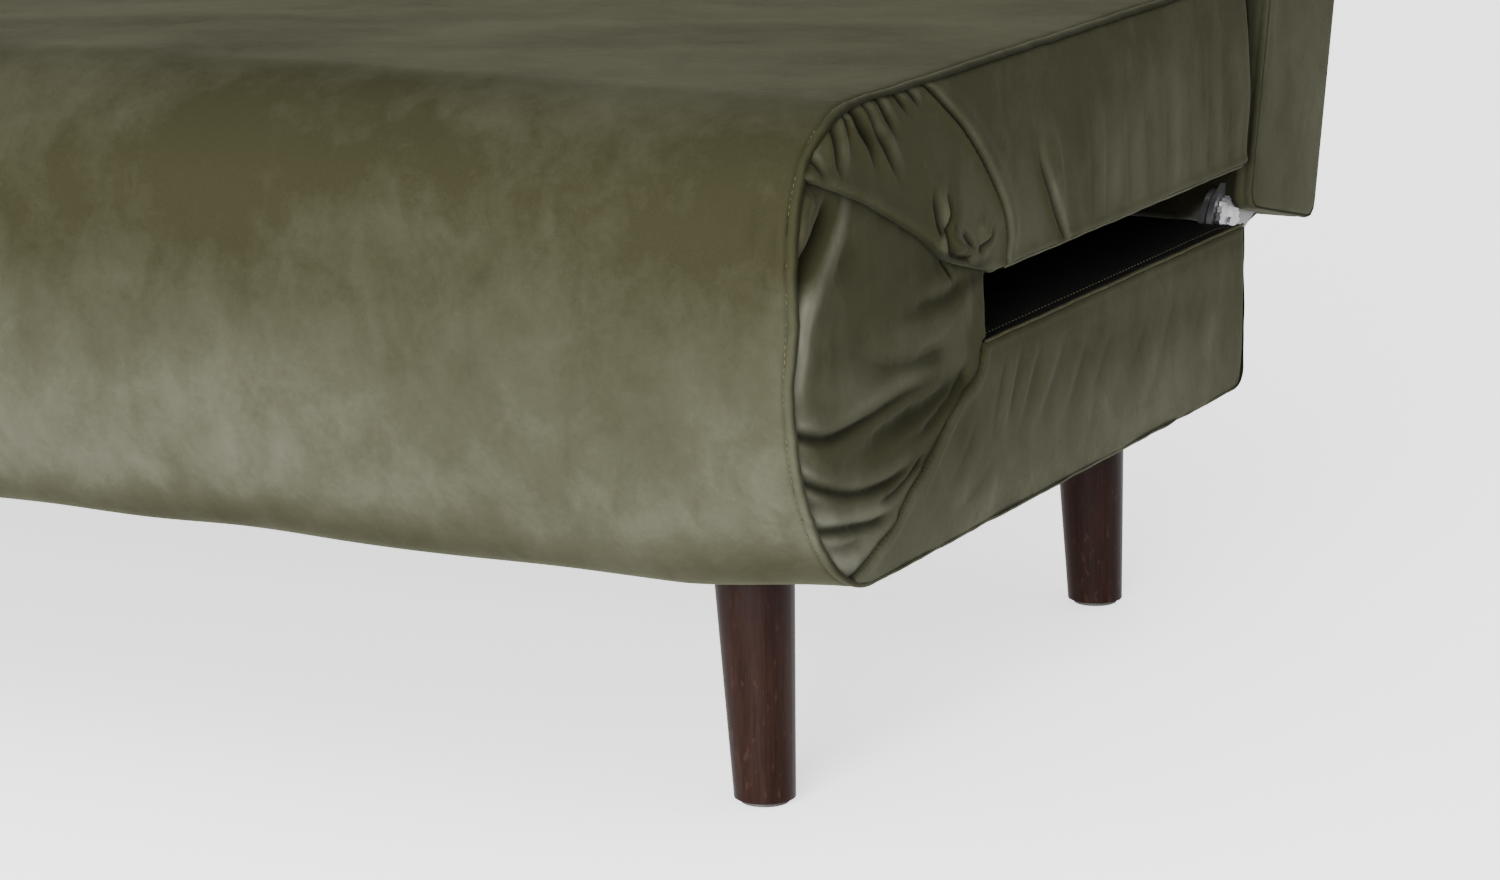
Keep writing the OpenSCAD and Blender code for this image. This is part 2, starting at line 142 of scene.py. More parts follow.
def smooth_line(points, spacing=3.0):
    """A rounded line through points, about spacing mm apart."""
    p = np.array(points, float)
    ends = np.vstack([2 * p[0] - p[1], p, 2 * p[-1] - p[-2]])
    out = []
    for a, b, c, d in zip(ends, ends[1:], ends[2:], ends[3:]):
        n = max(2, int(np.linalg.norm(c - b) / spacing))
        t = np.linspace(0, 1, n, endpoint=False)[:, None]
        out.append(0.5 * (2 * b + (c - a) * t + (2 * a - 5 * b + 4 * c - d) * t**2
                          + (3 * b - a - 3 * c + d) * t**3))
    return np.vstack(out + [p[-1:]])


def line_distance(d, z, line):
    """Signed distance in mm of each (d, z) from a line, and how far along it the nearest place is, 0 to 1."""
    flat = np.stack([d.ravel(), z.ravel()], 1)
    best = np.full(len(flat), 1e9)
    signed = np.zeros(len(flat))
    along = np.zeros(len(flat))
    for i, (a, b) in enumerate(zip(line, line[1:])):
        run = b - a
        t = np.clip(((flat - a) @ run) / (run @ run), 0, 1)
        gap = flat - (a + t[:, None] * run)
        far = np.hypot(gap[:, 0], gap[:, 1])
        near = far < best
        best[near] = far[near]
        side = run[0] * gap[:, 1] - run[1] * gap[:, 0]
        signed[near] = (np.where(side >= 0, 1, -1) * far)[near]
        along[near] = ((i + t) / (len(line) - 1))[near]
    return signed.reshape(d.shape), along.reshape(d.shape)


class Relief:
    """How far cloth stands out, in mm, the painted shade of its folds, seams and recesses, 0 to 1, and the painted
    light and shade on its pile.
    """

    def __init__(self, d, z):
        self.d, self.z = d, z
        self.out = np.zeros(d.shape)
        self.fold = np.zeros(d.shape)
        self.painted_light_and_tone = np.zeros(d.shape)

    # painted shade: keeps the darkest painted shade laid on each place
    def paint_shade(self, amount):
        self.fold = np.maximum(self.fold, amount)

    def spot(self, d, z, wide, high):
        """1 in the middle of a soft oval spot, 0 away from it."""
        return np.exp(-(((self.d - d) / wide) ** 2 + ((self.z - z) / high) ** 2))

    def beyond(self, points):
        """Signed distance in mm from a rounded line through points."""
        return line_distance(self.d, self.z, smooth_line(points))[0]

    def crease(self, points, width, depth, lip=0.6, taper=(0.15, 0.3), shade=1.0, cast=0.0):
        """A fold along points: a groove of that width and depth with a raised lip on both sides, and painted shade
        in the groove. A painted shadow is cast to the left of the line, seen along it, or with a negative cast to
        the right, with a painted highlight beside it on the other side."""
        s, along = line_distance(self.d, self.z, smooth_line(points))
        fade = step(along / taper[0]) * step((1 - along) / taper[1]) * 0.95 + 0.05
        groove = bell(s, width)
        self.out += fade * depth * (lip * bell(np.abs(s) - 1.9 * width, 1.1 * width) - groove)
        self.paint_shade(fade * shade * groove)
        if cast:
            over = s * np.sign(cast)
            self.painted_light_and_tone -= 1.1 * abs(cast) * fade * bell(over, 3.4 * width) * (over > 0)
            self.painted_light_and_tone += 0.9 * abs(cast) * fade * bell(over + 2.3 * width, 1.7 * width)
        return s

    def ridge(self, points, width, height, taper=(0.25, 0.3)):
        """A soft raised line along points."""
        s, along = line_distance(self.d, self.z, smooth_line(points))
        self.out += height * step(along / taper[0]) * step((1 - along) / taper[1]) * bell(s, width)

    def ripple(self, side, amount, size, seed):
        """Small uneven waves, different on the two sides."""
        place = np.stack([self.d * 0 + side * 0.3, self.d * MM, self.z * MM], -1)
        self.out += amount * wander(place, size, seed)


def in_scene(name, data):
    """A new object in the scene."""
    obj = bpy.data.objects.new(name, data)
    bpy.context.collection.objects.link(obj)
    return obj


def mesh_object(name, verts, faces):
    """A new smooth mesh in the scene."""
    mesh = bpy.data.meshes.new(name)
    mesh.from_pydata(verts, [], faces)
    mesh.polygons.foreach_set("use_smooth", [True] * len(mesh.polygons))
    return in_scene(name, mesh)


def build(name, points, body=None, fold=0.0, flip=False, wrap=False, painted_light_and_tone=0.0):
    """A smooth mesh from a grid of points; the painted shade of its folds and the painted light and tone of its
    pile are kept for the cloth's colour.
    """
    rows, cols = points.shape[:2]
    i, j = np.meshgrid(np.arange(rows - (0 if wrap else 1)), np.arange(cols - 1), indexing="ij")
    n = (i + 1) % rows
    quads = np.stack([i * cols + j, i * cols + j + 1, n * cols + j + 1, n * cols + j], -1).reshape(-1, 4)
    if flip:
        quads = quads[:, ::-1]
    obj = mesh_object(name, points.reshape(-1, 3).tolist(), quads.tolist())
    remember(obj, fold, painted_light_and_tone)
    if body:
        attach(obj, body)
    return obj


def remember(obj, fold=0.0, painted_light_and_tone=0.0):
    """Keeps, for the materials, each vertex's place at rest, its painted shade in folds, seams and recesses (0 to
    1), and the painted light and shade on its pile with its random tone (-1 dark to 1 pale)."""
    mesh = obj.data
    rest = mesh.attributes.new("rest", "FLOAT_VECTOR", "POINT")
    rest.data.foreach_set("vector", vertices(mesh).ravel())
    for name, value in (("fold", fold), ("painted_light_and_tone", painted_light_and_tone)):
        layer = mesh.attributes.new(name, "FLOAT", "POINT")
        layer.data.foreach_set("value", np.ones(len(mesh.vertices)) * np.ravel(value))


def vertices(mesh):
    co = np.empty(len(mesh.vertices) * 3)
    mesh.vertices.foreach_get("co", co)
    return co.reshape(-1, 3)


def tube(name, path, radius, body):
    """A round cord along a level path of points."""
    ahead = np.gradient(path, axis=0)
    ahead /= np.linalg.norm(ahead, axis=1)[:, None]
    side = np.cross(ahead, (0.0, 0.0, 1.0))
    side /= np.linalg.norm(side, axis=1)[:, None]
    up = np.cross(side, ahead)
    a = np.linspace(0, 2 * math.pi, 9)[None, :, None]
    return build(name, path[:, None] + radius * (side[:, None] * np.cos(a) + up[:, None] * np.sin(a)), body)


# ---- materials ----


class Nodes:
    """Short names for building a material's nodes."""

    def __init__(self, name):
        self.material = bpy.data.materials.new(name)
        self.material.use_nodes = True
        self.tree = self.material.node_tree
        self.shader = self.tree.nodes["Principled BSDF"]

    def add(self, kind, **values):
        node = self.tree.nodes.new(kind)
        for key, value in values.items():
            if key in node.inputs:
                node.inputs[key].default_value = value
            else:
                setattr(node, key, value)
        return node

    def put(self, value, socket):
        """Links a node's output to a socket, or sets a number or a colour on it."""
        if isinstance(value, tuple):
            socket.default_value = (*value, 1)
        elif isinstance(value, (int, float)):
            socket.default_value = value
        else:
            self.tree.links.new(value, socket)

    def attribute(self, name, output="Vector"):
        return self.add("ShaderNodeAttribute", attribute_name=name).outputs[output]

    def place(self, rest=False):
        """Each point's place on its object, or where it was at rest."""
        return self.attribute("rest") if rest else self.add("ShaderNodeTexCoord").outputs["Object"]

    def split(self, vector):
        node = self.add("ShaderNodeSeparateXYZ")
        self.put(vector, node.inputs[0])
        return node.outputs

    def noise(self, vector, scale, detail=3.0, roughness=0.55, stretch=None, distortion=0.0):
        if stretch:
            mapping = self.add("ShaderNodeMapping", Scale=stretch)
            self.put(vector, mapping.inputs["Vector"])
            vector = mapping.outputs["Vector"]
        node = self.add("ShaderNodeTexNoise", Scale=scale, Detail=detail, Roughness=roughness,
                        Distortion=distortion)
        self.put(vector, node.inputs["Vector"])
        return node.outputs["Fac"]

    def ramp(self, fac, *stops):
        node = self.add("ShaderNodeValToRGB")
        elements = node.color_ramp.elements
        while len(elements) < len(stops):
            elements.new(0.5)
        for element, (place, colour) in zip(elements, stops):
            element.position = place
            element.color = (*colour, 1)
        self.put(fac, node.inputs["Fac"])
        return node.outputs["Color"]

    def math(self, operation, a, b=0.0, clamp=False):
        node = self.add("ShaderNodeMath", operation=operation, use_clamp=clamp)
        self.put(a, node.inputs[0])
        self.put(b, node.inputs[1])
        return node.outputs[0]

    def total(self, *terms, plus=0.0):
        """The sum of (output, weight) pairs and a number."""
        result = plus
        for value, weight in terms:
            result = self.math("ADD", self.math("MULTIPLY", value, weight), result)
        return result

    def mix(self, fac, a, b, blend="MIX"):
        node = self.add("ShaderNodeMix", data_type="RGBA", blend_type=blend)
        for place, value in ((0, fac), (6, a), (7, b)):
            self.put(value, node.inputs[place])
        return node.outputs[2]

    def bump(self, *layers):
        """A normal from (height, strength, distance) layers, each laid over the one before."""
        normal = None
        for height, strength, distance in layers:
            node = self.add("ShaderNodeBump", Strength=strength, Distance=distance)
            self.put(height, node.inputs["Height"])
            if normal is not None:
                self.put(normal, node.inputs["Normal"])
            normal = node.outputs["Normal"]
        return normal

    def finish(self, colour, roughness, normal=None, **fixed):
        for name, value in (("Base Color", colour), ("Roughness", roughness), ("Normal", normal)):
            if value is not None:
                self.put(value, self.shader.inputs[name])
        for name, value in fixed.items():
            self.shader.inputs[name.replace("_", " ")].default_value = value
        return self.material


def velvet(name, dark, middle, light, rest=True):
    """Cut pile: broad brushed patches and finer mottling, painted light and shade carried on the mesh, painted
    shade in folds and seams, and a soft sheen at grazing angles.
    """
    n = Nodes(name)
    p = n.place(rest)
    broad = n.noise(p, 7.5, 2.0, 0.45, distortion=0.35)
    brushed = n.noise(p, 38.0, 3.0, 0.55, stretch=(1.0, 1.0, 0.7), distortion=0.5)
    speck = n.noise(p, 210.0, 3.0, 0.7)
    pile = n.noise(p, 1500.0, 2.0, 0.7)
    # painted light and shade, with some random tone, carried on the mesh, shifts the pile's tone
    painted_light_and_tone = n.attribute("painted_light_and_tone", "Fac")
    tone = n.total((broad, 0.32), (brushed, 0.26), (speck, 0.12), (painted_light_and_tone, 0.40), plus=0.158)
    colour = n.ramp(tone, (0.26, dark), (0.50, middle), (0.78, light))
    colour = n.mix(n.math("MULTIPLY", pile, 0.22), colour, light)
    # painted shade in folds, seams and recesses, carried on the mesh
    if rest:
        fold = n.math("POWER", n.attribute("fold", "Fac"), 1.3)
        colour = n.mix(n.math("MULTIPLY", fold, 0.74, clamp=True), colour, tuple(0.16 * c for c in dark))
    normal = n.bump((brushed, 0.30, 0.0016), (speck, 0.28, 0.0006), (pile, 0.35, 0.00022))
    rough = n.total((brushed, 0.12), plus=0.82)
    return n.finish(colour, rough, normal, Sheen_Weight=0.035, Sheen_Roughness=0.30,
                    Sheen_Tint=(0.80, 0.81, 0.56, 1), Specular_IOR_Level=0.03)


def woven(name, colour, light, threads=1400.0, rest=True, roughness=0.9):
    """Plain cloth with a fine weave."""
    n = Nodes(name)
    p = n.place(rest)
    x, y, z = n.split(p)
    across = n.math("SINE", n.math("MULTIPLY", x, threads * 2))
    down = n.math("SINE", n.math("MULTIPLY", n.math("ADD", y, z), threads * 2))
    weave = n.total((n.math("MULTIPLY", across, down), 0.5), plus=0.5)
    slub = n.noise(p, 60.0, 4.0, 0.6, stretch=(0.4, 2.0, 2.0))
    shade = n.ramp(n.total((weave, 0.35), (slub, 0.6)), (0.25, colour), (0.8, light))
    normal = n.bump((slub, 0.25, 0.0006), (weave, 0.3, 0.0002))
    return n.finish(shade, roughness, normal, Specular_IOR_Level=0.06)


def stained_wood(name):
    """Dark stained hardwood: long grain along the height, fine rays and pores under satin lacquer."""
    n = Nodes(name)
    p = n.place()
    grain = n.noise(p, 46.0, 6.0, 0.62, stretch=(1.0, 1.0, 0.05), distortion=0.5)
    rays = n.noise(p, 420.0, 3.0, 0.7, stretch=(1.0, 1.0, 0.05))
    pores = n.noise(p, 900.0, 2.0, 0.8, stretch=(1.0, 1.0, 0.03))
    flecks = n.noise(p, 300.0, 2.0, 0.5, stretch=(1.0, 1.0, 0.35))
    colour = n.ramp(n.total((grain, 0.6), (rays, 0.4)), (0.34, (0.0040, 0.0010, 0.0005)),
                    (0.5, (0.0085, 0.0026, 0.0015)), (0.64, (0.0135, 0.0052, 0.0034)))
    colour = n.mix(0.75, colour, n.ramp(pores, (0.34, (0.35, 0.3, 0.28)), (0.46, (1, 1, 1))), "MULTIPLY")
    colour = n.mix(1.0, colour, n.ramp(flecks, (0.62, (0, 0, 0)), (0.72, (0.007, 0.0045, 0.0035))), "ADD")
    # painted shade: the leg goes darker towards its top, where the body above shades it
    above = n.math("SUBTRACT", n.split(p)[2], 0.085)
    shade_under_body = n.math("MULTIPLY", above, 12.0, clamp=True)
    colour = n.mix(n.math("MULTIPLY", shade_under_body, 0.75), colour, (0.0022, 0.0006, 0.0004))
    normal = n.bump((rays, 0.16, 0.0004), (pores, 0.2, 0.0002))
    return n.finish(colour, n.total((rays, 0.18), plus=0.36), normal, Coat_Weight=0.02, Coat_Roughness=0.32,
                    Specular_IOR_Level=0.05)


def plywood(name):
    """Pale bent plywood, its grain along the slat and its plies along the edges."""
    n = Nodes(name)
    p = n.place()
    grain = n.noise(p, 30.0, 5.0, 0.6, stretch=(1.0, 0.06, 1.0), distortion=0.8)
    plies = n.noise(p, 260.0, 1.0, 0.4, stretch=(0.02, 0.02, 1.0))
    colour = n.ramp(n.total((grain, 0.7), (plies, 0.3)), (0.35, (0.36, 0.22, 0.11)),
                    (0.5, (0.56, 0.39, 0.22)), (0.68, (0.68, 0.52, 0.33)))
    return n.finish(colour, n.total((grain, 0.2), plus=0.4), n.bump((grain, 0.15, 0.0003)))


def powder_coat(name):
    """Satin black powder coat with its fine orange peel, and rubbed spots."""
    n = Nodes(name)
    p = n.place()
    peel = n.noise(p, 900.0, 2.0, 0.5)
    rubbed = n.noise(p, 14.0, 4.0, 0.6)
    colour = n.ramp(rubbed, (0.35, (0.012, 0.012, 0.013)), (0.7, (0.028, 0.028, 0.030)))
    return n.finish(colour, n.total((rubbed, 0.25), plus=0.32), n.bump((peel, 0.12, 0.0002)), Metallic=0.0,
                    Coat_Weight=0.15)


def zinc(name):
    """Dull zinc plate, faintly spangled and brushed."""
    n = Nodes(name)
    p = n.place()
    spangle = n.noise(p, 120.0, 4.0, 0.6)
    brushed = n.noise(p, 500.0, 3.0, 0.6, stretch=(0.06, 1.0, 1.0))
    colour = n.ramp(spangle, (0.3, (0.22, 0.22, 0.23)), (0.7, (0.38, 0.38, 0.39)))
    return n.finish(colour, n.total((brushed, 0.22), plus=0.36), n.bump((brushed, 0.1, 0.0001)), Metallic=1.0)


def rubber(name):
    """Black rubber with a little dust."""
    n = Nodes(name)
    p = n.place()
    dust = n.noise(p, 60.0, 5.0, 0.65)
    grain = n.noise(p, 1200.0, 2.0, 0.6)
    colour = n.ramp(dust, (0.4, (0.010, 0.010, 0.010)), (0.75, (0.032, 0.031, 0.029)))
    return n.finish(colour, n.total((dust, 0.2), plus=0.6), n.bump((grain, 0.2, 0.0002)))


def open_cell_foam(name):
    """Yellowed foam with its open cells."""
    n = Nodes(name)
    p = n.place()
    cells = n.add("ShaderNodeTexVoronoi", Scale=700.0)
    n.put(p, cells.inputs["Vector"])
    blotch = n.noise(p, 12.0, 3.0, 0.5)
    colour = n.ramp(blotch, (0.3, (0.70, 0.62, 0.40)), (0.7, (0.83, 0.77, 0.56)))
    return n.finish(colour, 0.95, n.bump((cells.outputs["Distance"], 0.5, 0.0008)))


def ground(name):
    """A pale, faintly uneven studio floor."""
    n = Nodes(name)
    pale = n.ramp(n.noise(n.place(), 1.4, 2.0, 0.5), (0.2, (0.86, 0.86, 0.86)), (0.8, (0.90, 0.90, 0.90)))
    return n.finish(pale, 0.75, Emission_Color=(1, 1, 1, 1), Emission_Strength=1.3)


OLIVE_DARK = (0.0090, 0.0087, 0.0020)
OLIVE = (0.0250, 0.0252, 0.0150)
OLIVE_LIGHT = (0.0600, 0.0606, 0.0450)
VELVET = velvet("olive_velvet", OLIVE_DARK, OLIVE, OLIVE_LIGHT)
LINING_COLOURS = ((0.0004, 0.0004, 0.0003), (0.0015, 0.0014, 0.0012))
LINING = woven("black_lining", *LINING_COLOURS)
BAND = woven("hem_tape", (0.018, 0.017, 0.008), (0.045, 0.043, 0.024), threads=2400.0)
THREAD = woven("olive_thread", (0.030, 0.028, 0.012), (0.080, 0.076, 0.040), threads=5200.0, roughness=0.6)
# the CAD nodes' finishes, by material slot; these nodes carry no cloth data of their own
FINISHES = {
    "dark_wood": stained_wood("dark_wood"),
    "bent_plywood": plywood("bent_plywood"),
    "black_steel": powder_coat("black_steel"),
    "zinc_steel": zinc("zinc_steel"),
    "black_rubber": rubber("black_rubber"),
    "cushion_foam": open_cell_foam("cushion_foam"),
    "black_lining": woven("black_lining_flat", *LINING_COLOURS, rest=False),
    "olive_velvet": velvet("olive_velvet_flat", OLIVE_DARK, OLIVE, OLIVE_LIGHT, rest=False),
}


def dress(obj, material):
    """Gives a piece its material in a new slot."""
    obj.data.materials.append(material)
    return obj


def dress_cad_nodes():
    """Gives every CAD node the finish of its slot."""
    for part in frame["record"]["subparts"]:
        obj = frame["nodes"][part["node"]]
        for holder in obj.material_slots:
            holder.material = FINISHES[part["material_slot"]]


# ---- the velvet wrap: seat top, taut front, toe and underside in one panel ----


def wrap_profile():
    """(depth, height) from the seat's lower rear edge, over the front, to the base's upper rear edge."""
    quarter = np.linspace(0, math.pi / 2, 9)
    rear = REAR - REAR_R
    points = [(REAR, SEAT_BOTTOM + 3), (REAR, SEAT_TOP - REAR_R - 4)]
    points += [(rear + REAR_R * math.cos(a), SEAT_TOP - REAR_R + REAR_R * math.sin(a)) for a in quarter]
    points += [(depth, SEAT_TOP) for depth in np.linspace(rear - 20, FACE + TOP_R + 10, 12)]
    points += brow_line(np.linspace(0, math.pi / 2, 22))
    points += [(FACE, height) for height in np.linspace(SEAT_TOP - TOP_R - 8, BASE_BOTTOM + TOE_H + 8, 12)]
    points += toe_line(26)
    points += [(depth, BASE_BOTTOM) for depth in np.linspace(FACE + TOE_D + 12, rear - 14, 12)]
    points += [(rear + REAR_R * math.sin(a), BASE_BOTTOM + REAR_R * (1 - math.cos(a))) for a in quarter]
    points += [(REAR, DECK - 3)]
    return even(np.array(points), 5.0)


def even(points, spacing):
    """The same line with its points about spacing apart."""
    lengths = np.concatenate([[0], np.cumsum(np.linalg.norm(np.diff(points, axis=0), axis=1))])
    count = int(lengths[-1] / spacing) + 1
    along = np.linspace(0, lengths[-1], count)
    return np.stack([np.interp(along, lengths, points[:, k]) for k in range(points.shape[1])], 1)


def normals(line):
    """Outward normals of a profile that runs over the top towards the front."""
    ahead = np.gradient(line, axis=0)
    ahead /= np.linalg.norm(ahead, axis=1)[:, None]
    return np.stack([ahead[:, 1], -ahead[:, 0]], 1)


# how far a wrapped surface lies under its full height, in mm, at distances in mm from the side seam
SEAM_Q = [0.0, 0.6, 1.4, 2.4, 3.8, 5.2, 6.4, 7.4, 8.6, 10.5, 14.0, 20.0]
SEAM_DROP = [2.8, 1.5, 0.5, 0.1, 0.0, 0.3, 1.3, 1.1, 0.35, 0.1, 0.0, 0.0]


def across_seams(margin, spacing):
    """Places across the width in mm, close together at the side seams, with their distances from the nearer
    seam and how far the surface lies under its full height there."""
    far = 2 * HALF_W / MM
    q = np.concatenate([SEAM_Q, np.arange(margin, far - margin, spacing), far - np.array(SEAM_Q[::-1])])
    edge = np.minimum(q, far - q)
    return q - far / 2, edge, np.interp(edge, SEAM_Q, SEAM_DROP)


def bend_over_fold(obj):
    """Bakes a piece's place into its mesh; the piece is not attached to base or seat, so it does not turn with
    them.
    """
    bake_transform(obj)


def wrap_tugs(edge, height, front):
    """Soft pulls in the front panel beside its side seams, given as (distance from the seam, height)."""
    r = Relief(edge, height)
    for width, depth, shade, end, points in [
        (3.4, 1.5, 0.30, 0.4, [(30, 402), (27, 375), (21, 345), (19, 322)]),
        (2.6, 1.2, 0.30, 0.4, [(20, 398), (15, 372), (13, 350)]),
        (8.0, 1.0, 0.18, 0.5, [(62, 300), (44, 284), (33, 262), (26, 236)]),
        (13.0, 1.1, 0.12, 0.5, [(150, 268), (118, 240), (92, 205), (74, 178)]),
        (15.0, 1.1, 0.12, 0.5, [(250, 330), (214, 292), (190, 250), (172, 214)]),
    ]:
        r.crease(points, width, depth, lip=0.9, taper=(end, end), shade=shade)
    r.ridge([(40, 392), (36, 360), (30, 330)], 6.0, 1.3)
    r.ridge([(205, 250), (170, 215), (140, 190)], 14.0, 1.0)
    r.out *= front
    r.fold *= front
    return r


def fuller_toe(depth, height, full):
    """Away from the side seams the toe is rounder and hangs a little lower than the side's own outline."""
    low = height < BASE_BOTTOM + TOE_H
    rise = np.clip((height - BASE_BOTTOM) / TOE_H, 0, 1)
    behind = 1 - step((depth - FACE - TOE_D) / 150)
    sag = 0.6 * bell(depth - 70, 60)
    height = height - full * low * (0.22 * TOE_H * rise * (1 - rise) + sag * (1 - rise))
    depth = depth - full * low * behind * 0.38 * (depth - FACE)
    return depth, height


def velvet_wrap():
    """The one velvet panel round seat and base, seamed to the sides and creased a little at its edges."""
    line = wrap_profile()
    out = normals(line)
    across, edge, drop = across_seams(27.0, 6.6)
    depth, x = np.meshgrid(line[:, 0], across, indexing="ij")
    height = np.repeat(line[:, 1:], len(across), 1)
    place = np.stack([x, depth, height], -1) * MM
    seam_wave = 0.7 * wander(place * (0, 1, 1), 0.045, 3)
    # puckers that the gathered side pulls into the panel's edge
    pucker = wander(place * (0.02, 1, 1), 0.011, 4, 1) * np.exp(-edge / 9.0) * 0.45
    gather = step((height - 150) / 40) * step((150 - depth) / 60) + 0.25
    front = step((60 - depth) / 40)
    inward = 1 - (np.abs(x) / (HALF_W / MM)) ** 4
    top = step((height - SEAT_TOP + 30) / 30)
    crown = 4.5 * inward * top * np.sin(np.clip((depth - FACE) / (REAR - FACE), 0, 1) * math.pi) ** 0.5
    proud = (FACE - 1.2) * bell(height - HINGE, 30) * front
    calm = 1 - 0.75 * bell(height - HINGE, 26) * front
    soft = 0.9 * wander(place, 0.16, 5) * (0.35 + 0.65 * inward) * calm
    tug = wrap_tugs(edge + 0 * height, height, front)
    depth, height = fuller_toe(depth, height, step((edge - 7) / 100))
    rise = tug.out - drop + pucker * gather + crown + proud + soft * step(edge / 60)
    depth = depth + out[:, None, 0] * rise
    height = height + out[:, None, 1] * rise
    x = x + np.sign(x) * (seam_wave * np.exp(-edge / 25) + 1.0 * (edge < 30))
    points = np.stack([x * MM, FRONT_Y + depth * MM, height * MM], -1)
    # painted shade in the side seams, along the flange's stitch row and in the tugs, less on the underside
    fold = np.maximum(bell(edge, 1.5), 0.5 * bell(edge - 6.8, 1.0))
    fold = np.maximum(fold, tug.fold) * (1 - 0.8 * step((depth - 70) / 30) * step((175 - height) / 20))
    # painted light and shade over the front: dark round the brow, paler towards the toe where the floor's light
    # falls, with a little random tone on top
    outer = step((np.abs(place[..., 0]) / HALF_W - 0.45) / 0.5)
    painted_light_and_tone = front * (0.94 * step((392 - height) / 215) - 0.60) - 0.28 * (1 - front)
    painted_light_and_tone = painted_light_and_tone + front * 0.14 * ((1 - outer) * step((height - 395) / 30) - outer * step((290 - height) / 80))
    painted_light_and_tone = painted_light_and_tone + wander(place, 0.20, 6) * (0.15 - 0.09 * front)
    obj = build("velvet_wrap", points, fold=fold, flip=True, painted_light_and_tone=painted_light_and_tone)
    dress(obj, VELVET)
    bend_over_fold(obj)
    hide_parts("seat_cover", "base_cover", "seat_foam", "base_foam", "seat_fold_pad", "base_fold_pad",
                "seat_sleep_foam")


# ---- side panels ----

# where the seat's side panel ends over the gusset, from the front seam to the gap
FOLD_EDGE = [(4, 410), (18, 405), (87, 381), (160, 349), (200, 328), (230, 318), (260, 310)]
# where the base's side panel ends over the gusset, from the gap to the toe
MITRE = [(254, 264), (246, 248), (212, 235), (181, 213), (151, 196), (128, 180), (98, 168), (64, 155)]
GAP_D = 262.0  # depth at which the gap between the sections opens


def seam_dive(gap):
    """How far a side panel dives in, in mm, at a distance in mm from its seam."""
    return 3.0 * bell(gap, 1.7) + 1.4 * np.exp(-gap / 7.0)


def puff(gap, height, reach):
    """How far padding rises away from a seam."""
    return height * (1 - np.exp(-gap / reach))


def edge_gap(r, line):
    return np.abs(line_distance(r.d, r.z, np.array(line, float))[0])


def side_depths():
    """Depths along a side panel, closer together at the front."""
    s = np.linspace(0, 1, 330)
    return FACE + 0.4 + (REAR - 4 - FACE) * (0.45 * s**2 + 0.55 * s)


def side_grid(depths, low, top, rows):
    """A flat panel between two outlines."""
    v = np.linspace(0, 1, rows)[:, None]
    return Relief(np.repeat(depths[None, :], rows, 0), low + (top - low) * v)


def sew_side(name, r, side, body, painted_light_and_tone, flip, drawn=0.0):
    """A side piece in velvet from its relief, with a painted shade added over the whole piece; drawn shifts it
    back, in mm.
    """
    x = side * (HALF_W / MM + r.out)
    points = np.stack([x * MM, FRONT_Y + (r.d + drawn) * MM, r.z * MM], -1)
    obj = build(f"{name}_{SIDES[side]}", points, body, r.fold, flip=flip, painted_light_and_tone=r.painted_light_and_tone + painted_light_and_tone)
    return dress(obj, VELVET)


